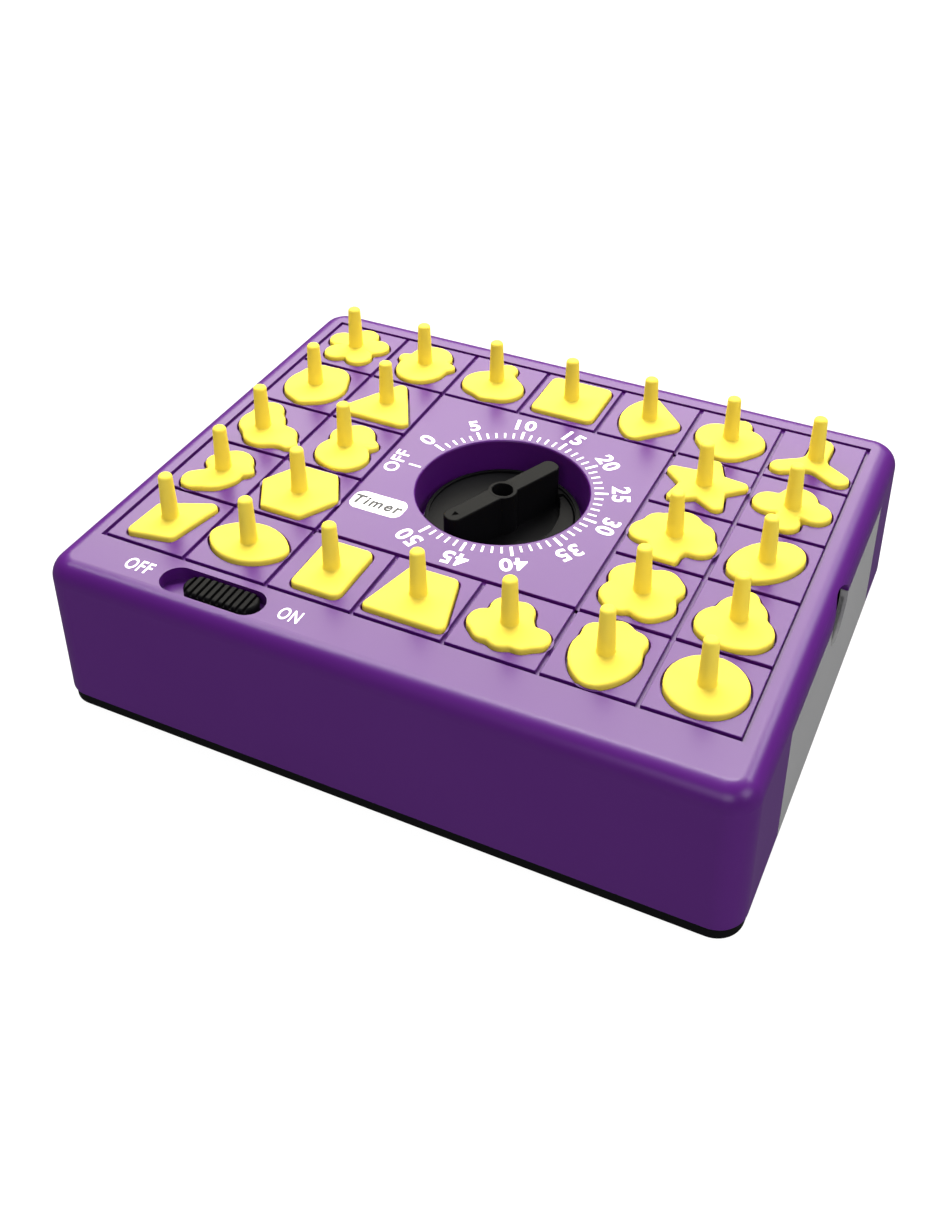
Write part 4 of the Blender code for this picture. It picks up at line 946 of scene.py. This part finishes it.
def make_drawer(grey):
    y0, y1 = DIAL_Y - DRAWER_WIDTH / 2, DIAL_Y + DRAWER_WIDTH / 2
    face = WIDTH / 2
    front = make_mesh("drawer_front", [block((face - PANEL_THICK, y0, CASE_BOTTOM),
                                             (face, y1, PANEL_TOP))])
    carve(front, finger_notch())
    round_edges(front, 0.3)
    finish_piece(front, grey, "drawer", ("storage_drawer",))
    wall = DRAWER_WALL
    inner_floor = CASE_BOTTOM + wall
    inner_y0, inner_y1 = y0 + 1.0 + wall, y1 - 1.0 - wall
    divider = face - GRIP_SPACE
    hold = make_mesh("drawer_bin", [block((DRAWER_END, y0 + 1.0, CASE_BOTTOM),
                                          (face - 1.0, y1 - 1.0, DRAWER_TOP))])
    bin_room = block((DRAWER_END + wall, inner_y0, inner_floor),
                     (divider - wall, inner_y1, ABOVE), 0.0, 2.0)
    grip_room = block((divider, inner_y0, inner_floor),
                      (face - PANEL_THICK + 0.1, inner_y1, ABOVE), 0.0, 1.0)
    carve(hold, bin_room, grip_room, finger_notch())
    round_edges(hold, 0.3)
    finish_piece(hold, grey, "drawer")


# Studio

def area_light(name, place, target, width, height, power, colour):
    lamp = bpy.data.lights.new(name, "AREA")
    lamp.shape = "RECTANGLE"
    lamp.size, lamp.size_y = width, height
    lamp.energy = power
    lamp.color = colour
    holder = bpy.data.objects.new(name, lamp)
    holder.location = place
    holder.rotation_euler = (Vector(target) - Vector(place)).to_track_quat("-Z", "Y").to_euler()
    bpy.context.scene.collection.objects.link(holder)


def bright_paper():
    """White paper that glows by itself, so that it looks even and the shadows on it are faint."""
    paper = bpy.data.materials.new("paper")
    paper.use_nodes = True
    shader = paper.node_tree.nodes["Principled BSDF"]
    shader.inputs["Base Color"].default_value = (PAPER_SHADE, PAPER_SHADE, PAPER_SHADE, 1.0)
    shader.inputs["Roughness"].default_value = 0.9
    shader.inputs["Specular IOR Level"].default_value = 0.0
    shader.inputs["Emission Color"].default_value = (1.0, 1.0, 1.0, 1.0)
    shader.inputs["Emission Strength"].default_value = PAPER_GLOW
    return paper


def paper_sheet(name, vertices, faces, paper):
    """A sheet of the studio, kept out of the object's reflections."""
    mesh = bpy.data.meshes.new(name)
    mesh.from_pydata(vertices, [], faces)
    mesh.materials.append(paper)
    sheet = bpy.data.objects.new(name, mesh)
    bpy.context.scene.collection.objects.link(sheet)
    sheet.visible_glossy = False
    return sheet


def make_studio():
    scene = bpy.context.scene
    scene.view_settings.view_transform = "Standard"
    scene.view_settings.look = "None"
    world = bpy.data.worlds.new("studio")
    world.use_nodes = True
    sky = world.node_tree.nodes["Background"]
    sky.inputs["Color"].default_value = (1.0, 1.0, 1.0, 1.0)
    sky.inputs["Strength"].default_value = SURROUND
    scene.world = world
    paper = bright_paper()
    reach = FLOOR_REACH
    corners = [(-reach, -reach), (reach, -reach), (reach, reach), (-reach, reach)]
    paper_sheet("floor", lifted(corners, 0.0), [(0, 1, 2, 3)], paper)
    sides = [(k, (k + 1) % 4, (k + 1) % 4 + 4, k + 4) for k in range(4)]
    backdrop = paper_sheet("backdrop", lifted(corners, 0.0) + lifted(corners, reach), sides, paper)
    backdrop.visible_diffuse = False
    for light in LIGHTS:
        area_light(*light)
    camera = bpy.data.cameras.new("camera")
    camera.lens = 42.6
    camera.sensor_width = 36.0
    camera.shift_x, camera.shift_y = -0.0189, -0.1996
    view = bpy.data.objects.new("camera", camera)
    view.location = (0.16137, -0.34714, 0.33818)
    view.rotation_euler = (math.radians(58.88), 0.0, math.radians(25.09))
    scene.collection.objects.link(view)
    scene.camera = view


def dress_frame(frame, finishes):
    """Give each node the finish of its own material slot."""
    slots = {part["node"]: part["material_slot"] for part in frame["record"]["subparts"]}
    for name, node in frame["nodes"].items():
        for holder in node.material_slots:
            holder.material = finishes[slots[name]]


def main():
    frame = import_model()
    purple = plastic("purple_plastic", (0.069, 0.0072, 0.137), 0.31, 0.05, 0.27)
    yellow = plastic("yellow_plastic", (0.80, 0.64, 0.082), 0.6, 0.05, 0.02)
    black = plastic("black_plastic", (0.005, 0.005, 0.0055), 0.40, 0.05, 0.028)
    grey = plastic("grey_plastic", (0.27, 0.27, 0.275), 0.5, 0.08, 0.2)
    white = plastic("white_ink", (0.95, 0.95, 0.95), 0.5, 0.02, 0.3)
    # Glossy black made lighter than the knob's own black, as a painted highlight for the rim bead.
    rim_highlight = plastic("black_with_painted_highlight", (0.03, 0.03, 0.032), 0.28, 0.02, 0.5)
    # Deep black without gloss: painted shade for the sunk pointer arrow and the dash on the knob's
    # shelf.
    recess_shade = plastic("painted_recess_shade", (0.0015, 0.0015, 0.0015), 0.9, 0.02, 0.0)
    ink = plastic("dark_ink", (0.02, 0.018, 0.025), 0.5, 0.02, 0.3)
    steel = metal("plated_steel", (0.6, 0.6, 0.62), 0.3)
    brass = metal("brass", (0.75, 0.55, 0.2), 0.3)
    dress_frame(frame, {"purple_case": purple, "yellow_piece": yellow, "black_plastic": black,
                        "grey_drawer": grey, "plated_steel": steel, "brass_wheel": brass})
    make_case(purple)
    make_base(black)
    make_tray(purple)
    make_pieces(yellow)
    make_dial_panel(purple)
    print_words(white, ink)
    make_knob(black, rim_highlight, recess_shade)
    make_switch(black)
    make_drawer(grey)
    make_studio()


main()
